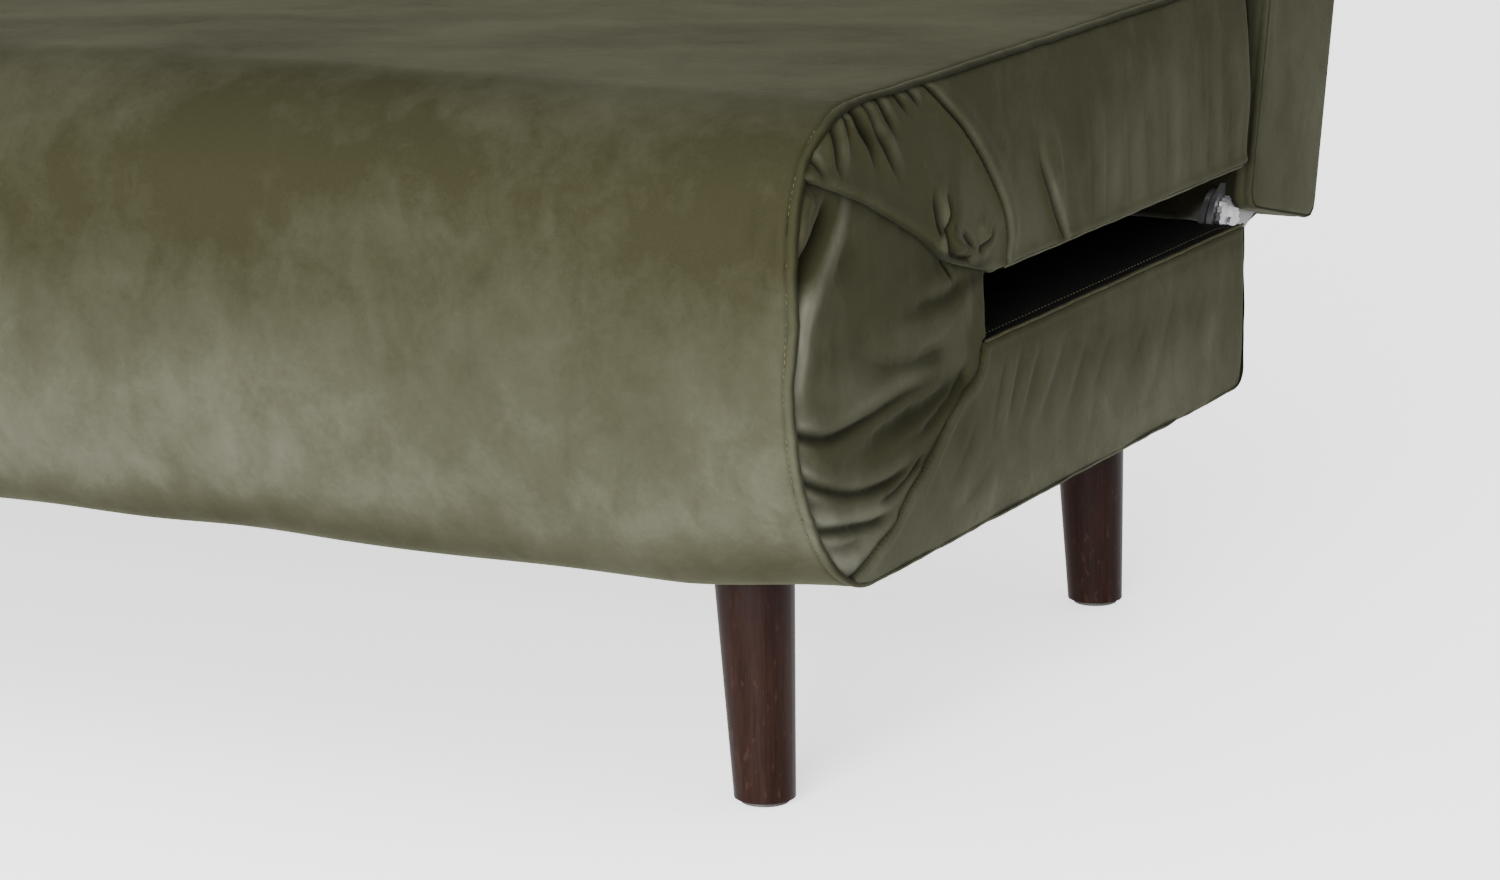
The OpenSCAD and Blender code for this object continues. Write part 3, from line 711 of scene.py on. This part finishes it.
def seat_side(side):
    """The seat's side: gathered pleats under the front seam, a dart, and a rolled edge over the gusset."""
    depths = side_depths()
    top = brow_height(depths) - 1.5
    hem = SEAT_BOTTOM + 1.0
    low = 289 + (hem - 289) * step((depths - 170) / 80)
    r = side_grid(depths, low, top, 92)
    d, z = r.d, r.z
    front = edge_gap(r, np.vstack([[(FACE, 285)], np.stack([depths, top], 1)]))
    below = z - hem
    r.out += puff(front, 3.2, 26) - seam_dive(front) - seam_dive(REAR - 4 - d)
    r.out += 2.2 * np.sin(np.clip((z - hem) / (SEAT_TOP - hem), 0, 1) * math.pi)
    # gathers that hang from the seam round the front corner
    for points, width, depth in [
        ([(20, 424), (30, 412), (38, 398)], 3.2, 1.6),
        ([(52, 436), (54, 424), (55, 410), (58, 396)], 4.2, 3.4),
        ([(78, 437), (84, 426), (97, 412), (106, 394)], 4.0, 3.6),
        ([(92, 438), (103, 420), (120, 403), (137, 381)], 3.4, 3.0),
        ([(112, 439), (120, 426), (134, 410)], 3.0, 2.2),
        ([(132, 439), (140, 431), (150, 422)], 2.6, 1.6),
        ([(148, 439), (156, 432), (165, 424)], 2.4, 1.4),
        ([(66, 437), (68, 428), (72, 418)], 2.2, 1.2),
    ]:
        r.crease(points, width, depth, lip=0.75, taper=(0.02, 0.5), cast=-0.45)
    # the dart that turns the panel round the corner, then a second, softer tuck
    dart = [(168, 440), (193, 423), (221, 402), (248, 377), (270, 353), (282, 331), (281, 308)]
    s = r.crease(dart, 1.7, 3.4, lip=0.5, taper=(0.03, 0.02), cast=-0.35)
    r.out += 2.6 * bell(s - 9, 7) * step((z - 300) / 30)
    tuck = [(322, 385), (334, 360), (352, 335), (366, 318), (371, 306)]
    r.crease(tuck, 2.8, 3.0, 0.6, (0.5, 0.02), cast=-0.5)
    r.ridge([(335, 400), (352, 375), (362, 345), (378, 318)], 5.0, 1.6)
    # soft hanging ripples farther back
    ripples = [(410, 10, 0.7), (436, 4, 0.5), (470, 8, 0.75), (500, 12, 0.5), (538, 3, 0.6), (575, 9, 0.5),
               (610, 5, 0.7), (646, 6, 0.5)]
    for k, (place, lean, amount) in enumerate(ripples):
        r.crease([(place - lean, 428 - 9 * (k % 3)), (place, 370), (place + lean, 308)], 6.0, amount, lip=0.8,
                 taper=(0.6, 0.15), shade=0.20, cast=-0.16)
    # the pucker where dart, gusset and gap meet
    r.crease([(176, 378), (182, 360), (188, 344)], 4.4, 2.6, taper=(0.5, 0.1), shade=0.8, cast=-0.4)
    tuck = [(197, 372), (197, 357), (193, 343), (199, 333), (213, 327), (230, 323)]
    r.crease(tuck, 2.6, 4.2, taper=(0.3, 0.05), cast=0.4)
    r.crease([(218, 342), (226, 334), (233, 328)], 2.4, 2.6, taper=(0.3, 0.1))
    r.crease([(264, 338), (254, 331), (241, 326)], 2.4, 2.8, taper=(0.3, 0.05))
    r.ridge([(207, 349), (207, 338), (218, 331)], 5.0, 3.2)
    r.ridge([(240, 345), (250, 333), (258, 322)], 6.0, 2.6)
    # painted light and shade on the pile: a highlight on the pucker, shade high at the rear and over the gathers,
    # a highlight beside the front seam
    r.painted_light_and_tone += 0.35 * r.spot(214, 336, 16, 12)
    r.painted_light_and_tone -= 0.30 * step((z - 350) / 70) * step((d - 190) / 60)
    r.painted_light_and_tone -= 0.26 * step((d - 45) / 40) * (1 - step((d - 200) / 30))
    r.painted_light_and_tone += 0.60 * bell(d - 14, 10) * step((425 - z) / 20)
    # over the gusset the panel ends in a rolled edge and goes on under it
    s = r.beyond(FOLD_EDGE + [(271, 305), (284, 300)])
    under = step((1.0 - s) / 3.5)
    r.out -= 13 * under
    r.out += 1.4 * bell(s - 5, 4.5)
    # painted shade under the rolled edge, and a painted shadow at the mouth of the gap
    r.paint_shade(step((1.4 - s) / 2.2))
    r.paint_shade(0.95 * r.spot(238, 316, 22, 6))
    # a bound hem along the gap, with painted shade in its crease
    behind = step((d - GAP_D) / 12)
    r.out += behind * (1.2 * bell(below - 4.5, 3.0) - 7.0 * bell(below, 1.6))
    r.paint_shade(behind * 0.95 * bell(below, 3.0))
    # painted shade in the front seam
    r.paint_shade(0.95 * bell(front, 2.4))
    r.ripple(side, 0.7, 0.09, 12)
    # painted shade over the whole side, which gets less light than the front
    obj = sew_side("seat_side", r, side, "seat", -0.30, side > 0, drawn=5 * under)


def base_side(side):
    """The base's side: a taut panel with fans of tension, its front edge folded over the gusset."""
    depths = side_depths()
    low = toe_height(depths) + 1.2
    top = DECK + 0.5 + (HINGE - 2 - DECK) * step((225 - depths) / 60)
    r = side_grid(depths, low, top, 80)
    d, z = r.d, r.z
    toe = edge_gap(r, np.vstack([[(FACE, 262)], np.stack([depths, low], 1)]))
    below = top - z
    beneath = step((d - 70) / 30) * step((low + 40 - z) / 20)
    r.out += puff(toe, 2.0, 18) - (0.45 - 0.33 * beneath) * seam_dive(toe) - seam_dive(REAR - 4 - d)
    r.out += 1.2 * np.sin(np.clip((z - BASE_BOTTOM) / (DECK - BASE_BOTTOM), 0, 1) * math.pi)
    # tension that fans out from the fold's inner end
    for points, width, depth in [
        ([(290, 258), (272, 224), (262, 196)], 5.5, 1.0),
        ([(318, 257), (298, 230), (282, 200)], 6.0, 1.3),
        ([(350, 255), (326, 228), (300, 194)], 7.0, 1.1),
        ([(386, 249), (358, 220), (326, 186)], 8.0, 1.3),
        ([(424, 242), (398, 216), (368, 184)], 8.5, 1.0),
        ([(462, 240), (436, 214), (410, 190)], 8.5, 0.7),
        ([(516, 237), (492, 212), (470, 190)], 9.0, 0.9),
        ([(566, 240), (545, 214), (524, 188)], 9.5, 0.7),
        ([(620, 238), (602, 214), (588, 190)], 9.5, 0.6),
        ([(248, 226), (222, 198), (186, 174)], 6.0, 0.9),
        ([(282, 192), (248, 176), (210, 164)], 7.0, 0.7),
    ]:
        r.crease(points, width, depth, lip=0.8, taper=(0.35, 0.5), shade=0.32, cast=-0.14)
    s = r.beyond(MITRE)
    under = step((0.6 - s) / 3.0)
    r.out -= 11 * under
    r.out += 1.3 * bell(s - 3.5, 3.4)
    # painted shade where the panel turns under the gusset
    r.paint_shade(step((0.9 - s) / 1.8))
    r.ridge([(228, 238), (198, 220), (176, 200), (150, 184)], 3.0, 0.9)
    # painted light on the pile: paler low down, with painted shade just under the hem
    r.painted_light_and_tone += 0.34 * step((225 - z) / 75) - 0.12 - 0.30 * bell(below - 4, 11)
    # a bound hem along the gap, with painted shade in its crease
    behind = step((d - GAP_D + 14) / 10)
    r.out += behind * (0.8 * bell(below - 4, 2.6) - 4.0 * bell(below, 1.3))
    r.paint_shade(behind * 0.8 * bell(below, 1.4))
    r.ripple(side, 0.7, 0.10, 22)
    # painted shade over the whole side
    obj = sew_side("base_side", r, side, "base", -0.20, side > 0, drawn=5 * under)


def gusset_outline(heights):
    """Depths of a gusset's front seam and of its hidden rear edge at each height, and the seam as a line."""
    seam = toe_line(20, FACE + 0.5, BASE_BOTTOM + 1.2)[::-1]
    seam = np.array(seam + brow_line(np.linspace(math.pi / 2, 0.5, 12), FACE + 0.5, SEAT_TOP - 1.5))
    front = np.interp(heights, seam[:, 1], seam[:, 0])
    tuck = 9
    over = np.array(FOLD_EDGE[::-1], float) + (-2, tuck)
    under = np.array(MITRE[::-1], float) + (tuck, -3)
    edge = np.vstack([under, [(GAP_D - 4, 270), (GAP_D, 286), (GAP_D + 1, 308)], over[1:]])
    edge = edge[np.argsort(edge[:, 1])]
    rear = np.interp(heights, edge[:, 1], edge[:, 0])
    return front, np.maximum(rear, front + 2), seam


def gusset(side):
    """The soft pleated piece that closes the fold's end between seat and base."""
    heights = np.linspace(157, 413, 170)
    left, right, seam = gusset_outline(heights)
    v = np.linspace(0, 1, 130)
    r = Relief(left[:, None] + (right - left)[:, None] * v, np.repeat(heights[:, None], len(v), 1))
    d, z = r.d, r.z
    front = edge_gap(r, seam)
    r.out += -2.2 + puff(front, 3.4, 14) - seam_dive(front)
    # it sinks in towards the fold's inner end and under the two panels, with painted shade where it goes under
    # them
    s = r.beyond(FOLD_EDGE)
    r.out -= 2.2 * np.exp(-np.maximum(-s, 0) / 9.0) + 5.0 * step(s / 5.0)
    r.paint_shade(0.85 * np.exp(-np.maximum(-s, 0) / 3.0))
    s = r.beyond(MITRE)
    covered = step((270 - z) / 8)
    r.out -= (1.2 * np.exp(-np.maximum(-s, 0) / 6.0) + 5.0 * step(s / 5.0)) * covered
    r.paint_shade(0.8 * np.exp(-np.maximum(-s, 0) / 2.2) * covered)
    inner = np.maximum(GAP_D + 1 - d, 0)
    r.out -= 5 * bell(inner, 2.6) * step((z - 262) / 8) * step((312 - z) / 10)
    # the hollow and bulges at the top, by the front seam
    r.crease([(58, 395), (48, 384), (34, 368), (18, 352), (6, 336)], 6.5, 6.6, lip=0.15, taper=(0.3, 0.1))
    r.crease([(52, 338), (66, 350), (84, 368)], 12, 2.4, lip=0.2, shade=0.3)
    # folds that run forward from the fold's inner end
    r.crease([(232, 309), (205, 304), (180, 305), (128, 304)], 5.0, 2.2, 0.5, (0.1, 0.6), 0.7, 0.3)
    r.crease([(203, 328), (208, 320), (213, 311)], 2.6, 1.8, taper=(0.1, 0.3))
    r.crease([(225, 322), (170, 330), (110, 342)], 13, 2.0, 0.2, (0.2, 0.6), 0.35)
    r.crease([(212, 276), (170, 274), (122, 279), (78, 296)], 8.0, 2.6, 0.5, (0.2, 0.6), 0.6, 0.3)
    deepest = [(234, 251), (182, 244), (122, 240), (84, 238), (60, 236)]
    r.crease(deepest, 8.5, 3.4, 0.5, (0.03, 0.5), 0.8, 0.35)
    r.crease([(226, 247), (196, 236), (166, 229), (128, 227)], 3.2, 1.8, taper=(0.05, 0.5), shade=0.7)
    # pleats that sweep from the front seam up to the fold's inner end
    for width, depth, taper, cast, points in [
        (3.4, 2.4, (0.05, 0.4), -0.4, [(5, 263), (28, 255), (52, 251), (98, 254), (150, 258), (206, 256)]),
        (3.0, 2.2, (0.05, 0.3), -0.35, [(6, 238), (24, 229), (44, 221), (77, 212), (120, 209), (168, 216)]),
        (3.0, 2.4, (0.03, 0.25), -0.4, [(14, 207), (36, 199), (64, 194), (103, 189), (133, 190)]),
    ]:
        r.crease(points, width, depth, 0.9, taper, cast=cast)
    r.crease([(100, 199), (135, 202), (170, 214)], 2.6, 1.8, taper=(0.3, 0.1))
    r.crease([(40, 187), (66, 182), (96, 180)], 3.0, 1.2, taper=(0.3, 0.4), shade=0.6)
    r.crease([(12, 222), (34, 213), (60, 206)], 3.0, 1.1, taper=(0.1, 0.6), shade=0.5)
    r.ridge([(74, 384), (56, 366), (34, 346), (14, 322), (8, 296)], 9.0, 4.8, taper=(0.3, 0.2))
    for width, height, points in [
        (6.5, 4.4, [(28, 400), (18, 384), (9, 364)]),
        (8.0, 2.4, [(236, 302), (200, 292), (150, 290), (90, 300)]),
        (9.0, 2.6, [(18, 272), (70, 264), (140, 268), (200, 264)]),
        (6.5, 2.4, [(18, 248), (60, 242), (110, 244)]),
        (6.0, 2.6, [(24, 216), (70, 203), (118, 198)]),
        (6.0, 1.8, [(40, 178), (70, 172), (96, 172)]),
    ]:
        r.ridge(points, width, height)
    # painted light on the pile: painted highlights where it bulges towards the front, along the front seam and low
    # down; painted shade under the fold, in the hollow beside the seam, by the inner end and high at the rear
    hollow = r.beyond([(60, 397), (44, 378), (30, 362), (20, 350)])
    bulge = r.beyond([(70, 384), (52, 364), (30, 342), (16, 318), (10, 290)])
    sweep = r.beyond([(40, 276), (110, 270), (180, 276), (236, 294)])
    r.painted_light_and_tone += 0.90 * bell(bulge + 1, 9) - 0.75 * bell(hollow, 11) + 0.28 * bell(sweep, 12)
    r.painted_light_and_tone += bell(front, 16) * step((372 - z) / 30) * (0.45 + 0.55 * step((z - 190) / 40))
    r.painted_light_and_tone += 0.32 * bell(front, 34) * step((250 - z) / 40) - 0.40 * bell(inner, 18) * step((z - 250) / 20)
    r.painted_light_and_tone += 0.72 * step((240 - z) / 70) - 0.32 * step((z - 290) / 50) * step((d - 60) / 60)
    r.painted_light_and_tone += 0.35 * r.spot(10, 374, 8, 18)
    # painted shadow at the mouth of the gap, and painted shade in the front seam
    r.paint_shade(0.9 * r.spot(244, 307, 22, 6))
    r.paint_shade(0.95 * bell(front, 2.2))
    r.ripple(side, 0.45, 0.022, 31)
    r.ripple(side, 0.7, 0.06, 32)
    r.out = np.where(r.out > 0, 3.0 * np.tanh(r.out / 3.0), r.out)
    # painted shade over the whole gusset
    obj = sew_side("gusset", r, side, None, -0.60, side < 0)
    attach(obj, "base")
    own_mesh(obj)
    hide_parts("front_gusset_left" if side > 0 else "front_gusset_right")


# ---- linings, hem tapes and stitches ----

FOLD_START = 250.0  # depth at which the linings start to close on the slit behind the front panel
FOLD_RUN = 72.0  # over this depth they close
SLIT = 0.4  # half the room between the linings where they are closed, over the hinge leaves
HEM_STITCH = 7.2  # a lining's stitch row, from its side


def lining_height(depth, gap, top):
    """Height of a lining's face at a depth and a distance from its side; top is True on the base."""
    closed = step((FOLD_START - depth) / FOLD_RUN)
    swell = 4.2 * (1 - np.exp(-gap / 7.0)) + 3.0 * (1 - np.exp(-gap / 60.0))
    swell = swell * step((REAR - depth) / 40) - 2.0
    padded = DECK + swell if top else SEAT_BOTTOM - swell
    slit = HINGE - SLIT if top else HINGE + SLIT
    return padded + (slit - padded) * closed


def lining(name, body, node, top):
    """Black cloth over a section's inner face: slightly padded, with the drag lines of a tacked cloth."""
    q = np.concatenate([[0, 1.5, 3, 4.5, 6, 8, 10.5, 14, 19, 26], np.arange(34, HALF_W / MM, 7.5)])
    half = HALF_W / MM - 1.2
    x = np.concatenate([-(half - q), (half - q)[::-1]])
    gap = half - np.abs(x)
    depth = np.linspace(13.5, REAR - 2.5, 118)
    d = np.repeat(depth[:, None], len(x), 1)
    z = lining_height(d, gap[None, :], top)
    # where it closes on the slit it is narrower, and stays behind the gussets
    across = 1 - 15 / half * step((FOLD_START + 15 - depth) / 25)
    place = np.stack([x[None, :] * across[:, None], d, z], -1) * MM
    soft = 0.9 * wander(place * (1, 1, 0), 0.11, 41 + top)
    soft += 0.35 * wander(place * (2.2, 0.4, 0), 0.03, 43 + top)
    z = z + soft * step(gap / 40)[None, :] * step((d - FOLD_START) / 30)
    row = bell(gap - HEM_STITCH, 1.2)
    z = z + (-0.7 if top else 0.7) * row[None, :] * step((depth - FOLD_START) / 20)[:, None]
    points = np.stack([place[..., 0], FRONT_Y + d * MM, z * MM], -1)
    obj = build(name, points, body, flip=top)
    dress(obj, LINING)
    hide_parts(node)


def stitches(name, rows, length=2.7, radius=0.30):
    """Small raised stitches, each lying along its row; a row is an array of places."""
    sides, rings = 6, 4
    places = np.vstack(rows)
    ahead = np.vstack([np.gradient(row, axis=0) for row in rows])
    ahead /= np.linalg.norm(ahead, axis=1)[:, None]
    side = np.cross(ahead, (0.31, 0.2, 0.93))
    side /= np.linalg.norm(side, axis=1)[:, None]
    up = np.cross(side, ahead)
    a = np.tile(np.linspace(0, 2 * math.pi, sides, endpoint=False), rings)[:, None]
    t = np.repeat(np.linspace(-1, 1, rings), sides)[:, None]
    r = radius * MM * np.sqrt(np.maximum(0.05, 1 - 0.93 * t * t))
    across = np.cos(a) * side[:, None] + np.sin(a) * up[:, None]
    verts = places[:, None] + ahead[:, None] * t * length * MM / 2 + r * across
    one = [(b + j, b + (j + 1) % sides, b + sides + (j + 1) % sides, b + sides + j)
           for b in range(0, sides * (rings - 1), sides) for j in range(sides)]
    one += [tuple(range(sides))[::-1], tuple(range(sides * (rings - 1), sides * rings))]
    starts = range(0, verts[..., 0].size, sides * rings)
    faces = [tuple(start + i for i in face) for start in starts for face in one]
    obj = mesh_object(name, verts.reshape(-1, 3).tolist(), faces)
    remember(obj)
    return dress(obj, THREAD)


def lining_stitches(name, body, top):
    """The stitches that hold a lining's hem, along both sides of the gap."""
    depth = np.arange(GAP_D + 2, REAR - 8, 5.0)
    z = lining_height(depth, np.full(len(depth), HEM_STITCH), top) + (-0.35 if top else 0.35)
    x = np.full(len(depth), HALF_W / MM - 1.2 - HEM_STITCH)
    rows = [np.stack([side * x * MM, FRONT_Y + depth * MM, z * MM], 1) for side in SIDES]
    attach(stitches(name, rows, radius=0.42), body)


def hem_tapes():
    """A narrow tape along each section's edge at the gap."""
    along = np.linspace(GAP_D - 6, REAR - 8, 90)
    wave = 0.0003 * np.sin(along / 17.0) + 0.0002 * np.sin(along / 5.3)
    for side, way in SIDES.items():
        for body, start, out, height, radius, material in (
            ("base", GAP_D - 6, 0.0009, DECK + 0.2, 0.0010, BAND),
            ("seat", GAP_D + 26, -0.0016, SEAT_BOTTOM + 1.6, 0.0020, VELVET),
        ):
            depth = np.linspace(start, REAR - 8, 90)
            path = np.stack([side * (HALF_W + out) + wave, FRONT_Y + depth * MM, np.full(90, height * MM)], 1)
            dress(tube(f"{body}_hem_tape_{way}", path, radius, body), material)


def flange_stitches():
    """Topstitching beside the wrap's two long seams; it crosses the fold with the wrap."""
    line = even(wrap_profile(), 4.2)
    d, z = (line - normals(line) * 1.35).T
    d = d - (FACE - 1.2) * bell(z - HINGE, 30) * step((60 - d) / 40)
    x = np.full(len(d), HALF_W / MM + 1.0 - 6.8)
    rows = [np.stack([side * x * MM, FRONT_Y + d * MM, z * MM], 1) for side in SIDES]
    bend_over_fold(stitches("flange_stitches", rows))


# ---- the back ----

recline = next(j for j in frame["joints"] if j["name"] == "back_recline")
RECLINE = np.array(recline["pos_m"])
STAND = math.radians(recline["range_deg"][1])  # how far the back stands up from the flat bed


def turn_back(points, angle):
    """Turns points about the recline axis: by STAND from the flat back to the standing one."""
    p = points - RECLINE
    c, s = math.cos(angle), math.sin(angle)
    return np.stack([p[..., 0], p[..., 1] * c - p[..., 2] * s, p[..., 1] * s + p[..., 2] * c], -1) + RECLINE


def flat_box(node):
    """The lowest and highest corners of a node of the back, turned down flat."""
    flat = turn_back(vertices(frame["nodes"][node].data), -STAND)
    return flat.min(0), flat.max(0)


def inflate(obj, pinned, keep, reach, frames=20):
    """Swells a closed mesh as stuffed cloth with its seams held; keep scales each move, up to reach."""
    before = vertices(obj.data)
    group = obj.vertex_groups.new(name="held")
    group.add([int(i) for i in np.nonzero(pinned)[0]], 1.0, "REPLACE")
    cloth = obj.modifiers.new("stuffing", "CLOTH")
    values = dict(quality=4, mass=0.25, vertex_group_mass="held", use_pressure=True,
                  uniform_pressure_force=4.0, tension_stiffness=9, compression_stiffness=6,
                  shear_stiffness=4, bending_stiffness=0.6, shrink_min=-0.012)
    for name, value in values.items():
        setattr(cloth.settings, name, value)
    cloth.settings.effector_weights.gravity = 0
    cloth.collision_settings.use_collision = False
    cloth.point_cache.frame_start, cloth.point_cache.frame_end = 1, frames
    for number in range(1, frames + 1):
        bpy.context.scene.frame_set(number)
    after = vertices(obj.evaluated_get(bpy.context.evaluated_depsgraph_get()).data)
    obj.modifiers.remove(cloth)
    obj.vertex_groups.clear()
    bpy.context.scene.frame_set(1)
    move = after - before
    far = np.linalg.norm(move, axis=1)
    soft = reach * np.tanh(far / reach) / np.maximum(far, 1e-9)
    obj.data.vertices.foreach_set("co", (before + move * (soft * keep)[:, None]).ravel())
    obj.data.update()


def back_profile(lo, hi):
    """The flat back's outline, closed, round its four corners: (depth, height) in mm."""
    d0, d1 = (lo[1] - FRONT_Y) / MM, (hi[1] - FRONT_Y) / MM
    z0, z1 = lo[2] / MM, hi[2] / MM
    corners = [(d1 - 46, z1 - 46, 46), (d1 - 40, z0 + 40, 40), (d0 + 12, z0 + 12, 12), (d0 + 14, z1 - 14, 14)]
    points = []
    for k, (d, z, r) in enumerate(corners):
        a = (1 - k - np.linspace(0, 1, 12)) * math.pi / 2
        points += zip(d + r * np.cos(a), z + r * np.sin(a))
    return even(np.array(points + points[:1]), 7.5)[:-1]


def back_cushion():
    """The back's padded cover: a crowned front panel and boxed ends, swelled as cloth between its seams."""
    lo, hi = flat_box("back_cover")
    line = back_profile(lo, hi)
    ahead = np.roll(line, -1, 0) - np.roll(line, 1, 0)
    ahead /= np.linalg.norm(ahead, axis=1)[:, None]
    out = np.stack([-ahead[:, 1], ahead[:, 0]], 1)
    low, high = line.min(0), line.max(0)
    middle = (low + high) / 2
    half = HALF_W / MM
    across, _, drop = across_seams(28.0, 8.6)
    reach = (high[0] - low[0]) / 2 - 62
    spine = middle + np.clip(line - middle, (-reach, 0), (reach, 0))
    shrink = np.array([0.04, 0.025, 0.05, 0.08, 0.13, 0.2, 0.3, 0.42, 0.56, 0.7, 0.84, 0.97])
    dive = np.array([5.0, 2.0, 0.4, -0.6, -1.0, -1.2, -1.4, -1.5, -1.6, -1.6, -1.6, -1.6])
    body = line[:, None] - out[:, None] * drop[None, :, None]
    cap = line[:, None] + (spine - line)[:, None] * shrink[None, 1:, None]
    flat = np.concatenate([cap[:, ::-1], body, cap], 1)
    x = np.concatenate([dive[:0:-1] - half, across, half - dive[1:]])
    x[len(dive) - 1] += 4.0
    x[-len(dive)] -= 4.0
    x = np.repeat(x[None, :], len(line), 0)
    place = np.stack([x * MM, FRONT_Y + flat[..., 0] * MM, flat[..., 1] * MM], -1)
    along = (flat[..., 0] - low[0]) / (high[0] - low[0])
    # between the recline plates the lower end hangs a little over the gap
    place[..., 1] -= 12 * MM * step((572 - np.abs(place[..., 0]) / MM) / 10) * step((0.10 - along) / 0.09)
    seams = np.zeros(place.shape[:2], bool)
    seams[:, len(dive) - 2 : len(dive) + 1] = True
    seams[:, -len(dive) - 1 : -len(dive) + 2] = True
    held = seams | (along < 0.012)
    front = step((flat[..., 1] - middle[1] + 10) / 60)
    # painted shade along the boxing seams, and a painted shadow over the face's low end between the plates, where
    # the seat hides it
    hidden = (np.abs(place[..., 0]) < HALF_W - 0.012) * step((0.07 - along) / 0.025)
    fold = np.maximum(0.95 * seams, hidden)
    obj = build("back_cushion", turn_back(place, STAND), fold=fold, flip=True, wrap=True, painted_light_and_tone=-0.12)
    # the face stays clear of the seat's folded legs low down, and the rear stays flat under its panel
    keep = (0.18 + 0.82 * step((along - 0.22) / 0.2)) * (0.25 + 0.75 * front)
    inflate(obj, held.ravel(), keep.ravel(), reach=0.013)
    close_ends(obj)
    dress(obj, VELVET)
    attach(obj, "back")
    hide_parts("back_cover", "back_foam")


def close_ends(obj):
    """Closes the narrow slits in the middle of the boxed ends."""
    bm = bmesh.new()
    bm.from_mesh(obj.data)
    ends = bmesh.ops.holes_fill(bm, edges=[edge for edge in bm.edges if edge.is_boundary])
    bmesh.ops.triangulate(bm, faces=ends["faces"])
    bmesh.ops.recalc_face_normals(bm, faces=bm.faces)
    bm.to_mesh(obj.data)
    bm.free()
    obj.data.polygons.foreach_set("use_smooth", [True] * len(obj.data.polygons))


def back_lining():
    """Black cloth tacked over the back's rear, with a stitched margin."""
    lo, hi = flat_box("back_rear_panel")
    v, u = np.meshgrid(np.linspace(0, 1, 76), np.linspace(-1, 1, 150), indexing="ij")
    x = u * hi[0]
    d = lo[1] + 0.006 + (hi[1] - lo[1] - 0.004) * v
    margin = np.minimum(hi[0] - np.abs(x), np.minimum(d - lo[1], hi[1] - d)) / MM
    place = np.stack([x, d, np.full_like(x, lo[2])], -1)
    out = 2.2 * (1 - np.exp(-margin / 9)) + 0.7 * wander(place, 0.10, 61)
    out += 0.3 * wander(place * (1, 3, 1), 0.05, 62)
    out -= 0.9 * (bell(margin - 9, 1.6) + bell(margin - 13, 1.6))
    out -= 3.0 * bell(margin, 3)
    place[..., 2] -= out * MM
    obj = build("back_rear_lining", turn_back(place, STAND), "back")
    dress(obj, LINING)
    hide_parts("back_rear_panel")


# ---- stage, light and camera ----


def area_light(name, place, target, size, power):
    data = bpy.data.lights.new(name, "AREA")
    data.shape = "RECTANGLE"
    data.size, data.size_y = size
    data.energy = power
    obj = in_scene(name, data)
    obj.location = place
    obj.rotation_euler = (Vector(target) - Vector(place)).to_track_quat("-Z", "Y").to_euler()


def stage():
    """Pale floor, white surroundings and two soft lights."""
    reach = 14.0
    corners = [(-reach, -reach, 0), (reach, -reach, 0), (reach, reach, 0), (-reach, reach, 0)]
    floor = mesh_object("floor", corners, [(0, 1, 2, 3)])
    floor.data.materials.append(ground("pale_floor"))
    world = bpy.data.worlds.new("studio")
    world.use_nodes = True
    background = world.node_tree.nodes["Background"]
    background.inputs["Color"].default_value = (1.0, 1.0, 1.0, 1)
    background.inputs["Strength"].default_value = 1.55
    bpy.context.scene.world = world
    middle = (0, 0, 0.3)
    area_light("key", (1.0, -3.7, 0.9), middle, (1.8, 1.2), 430)
    area_light("overhead", (-0.6, -0.6, 3.2), middle, (3.0, 2.4), 25)


def camera():
    """Close to the front left corner, seen from a little above."""
    yaw, pitch, roll = 0.485, 0.233, -0.012
    look = Vector((-math.sin(yaw) * math.cos(pitch), math.cos(yaw) * math.cos(pitch), -math.sin(pitch)))
    right = Vector((math.cos(yaw), math.sin(yaw), 0))
    up = right.cross(look)
    right, up = (math.cos(roll) * right + math.sin(roll) * up, -math.sin(roll) * right + math.cos(roll) * up)
    data = bpy.data.cameras.new("camera")
    data.sensor_width = 36.0
    data.lens = 108.4
    obj = in_scene("camera", data)
    place = Vector((HALF_W + 1.129, FRONT_Y + FACE * MM - 2.198, 0.8455))
    obj.matrix_world = Matrix.Translation(place) @ Matrix((right, up, -look)).transposed().to_4x4()
    bpy.context.scene.camera = obj


# ---- the whole ----

camera()
stage()
dress_cad_nodes()
velvet_wrap()
for side in SIDES:
    seat_side(side)
    base_side(side)
    gusset(side)
lining("base_lining", "base", "base_deck_lining", True)
lining("seat_lining", "seat", "seat_underlining", False)
lining_stitches("base_lining_stitches", "base", True)
lining_stitches("seat_lining_stitches", "seat", False)
hem_tapes()
flange_stitches()
back_cushion()
back_lining()
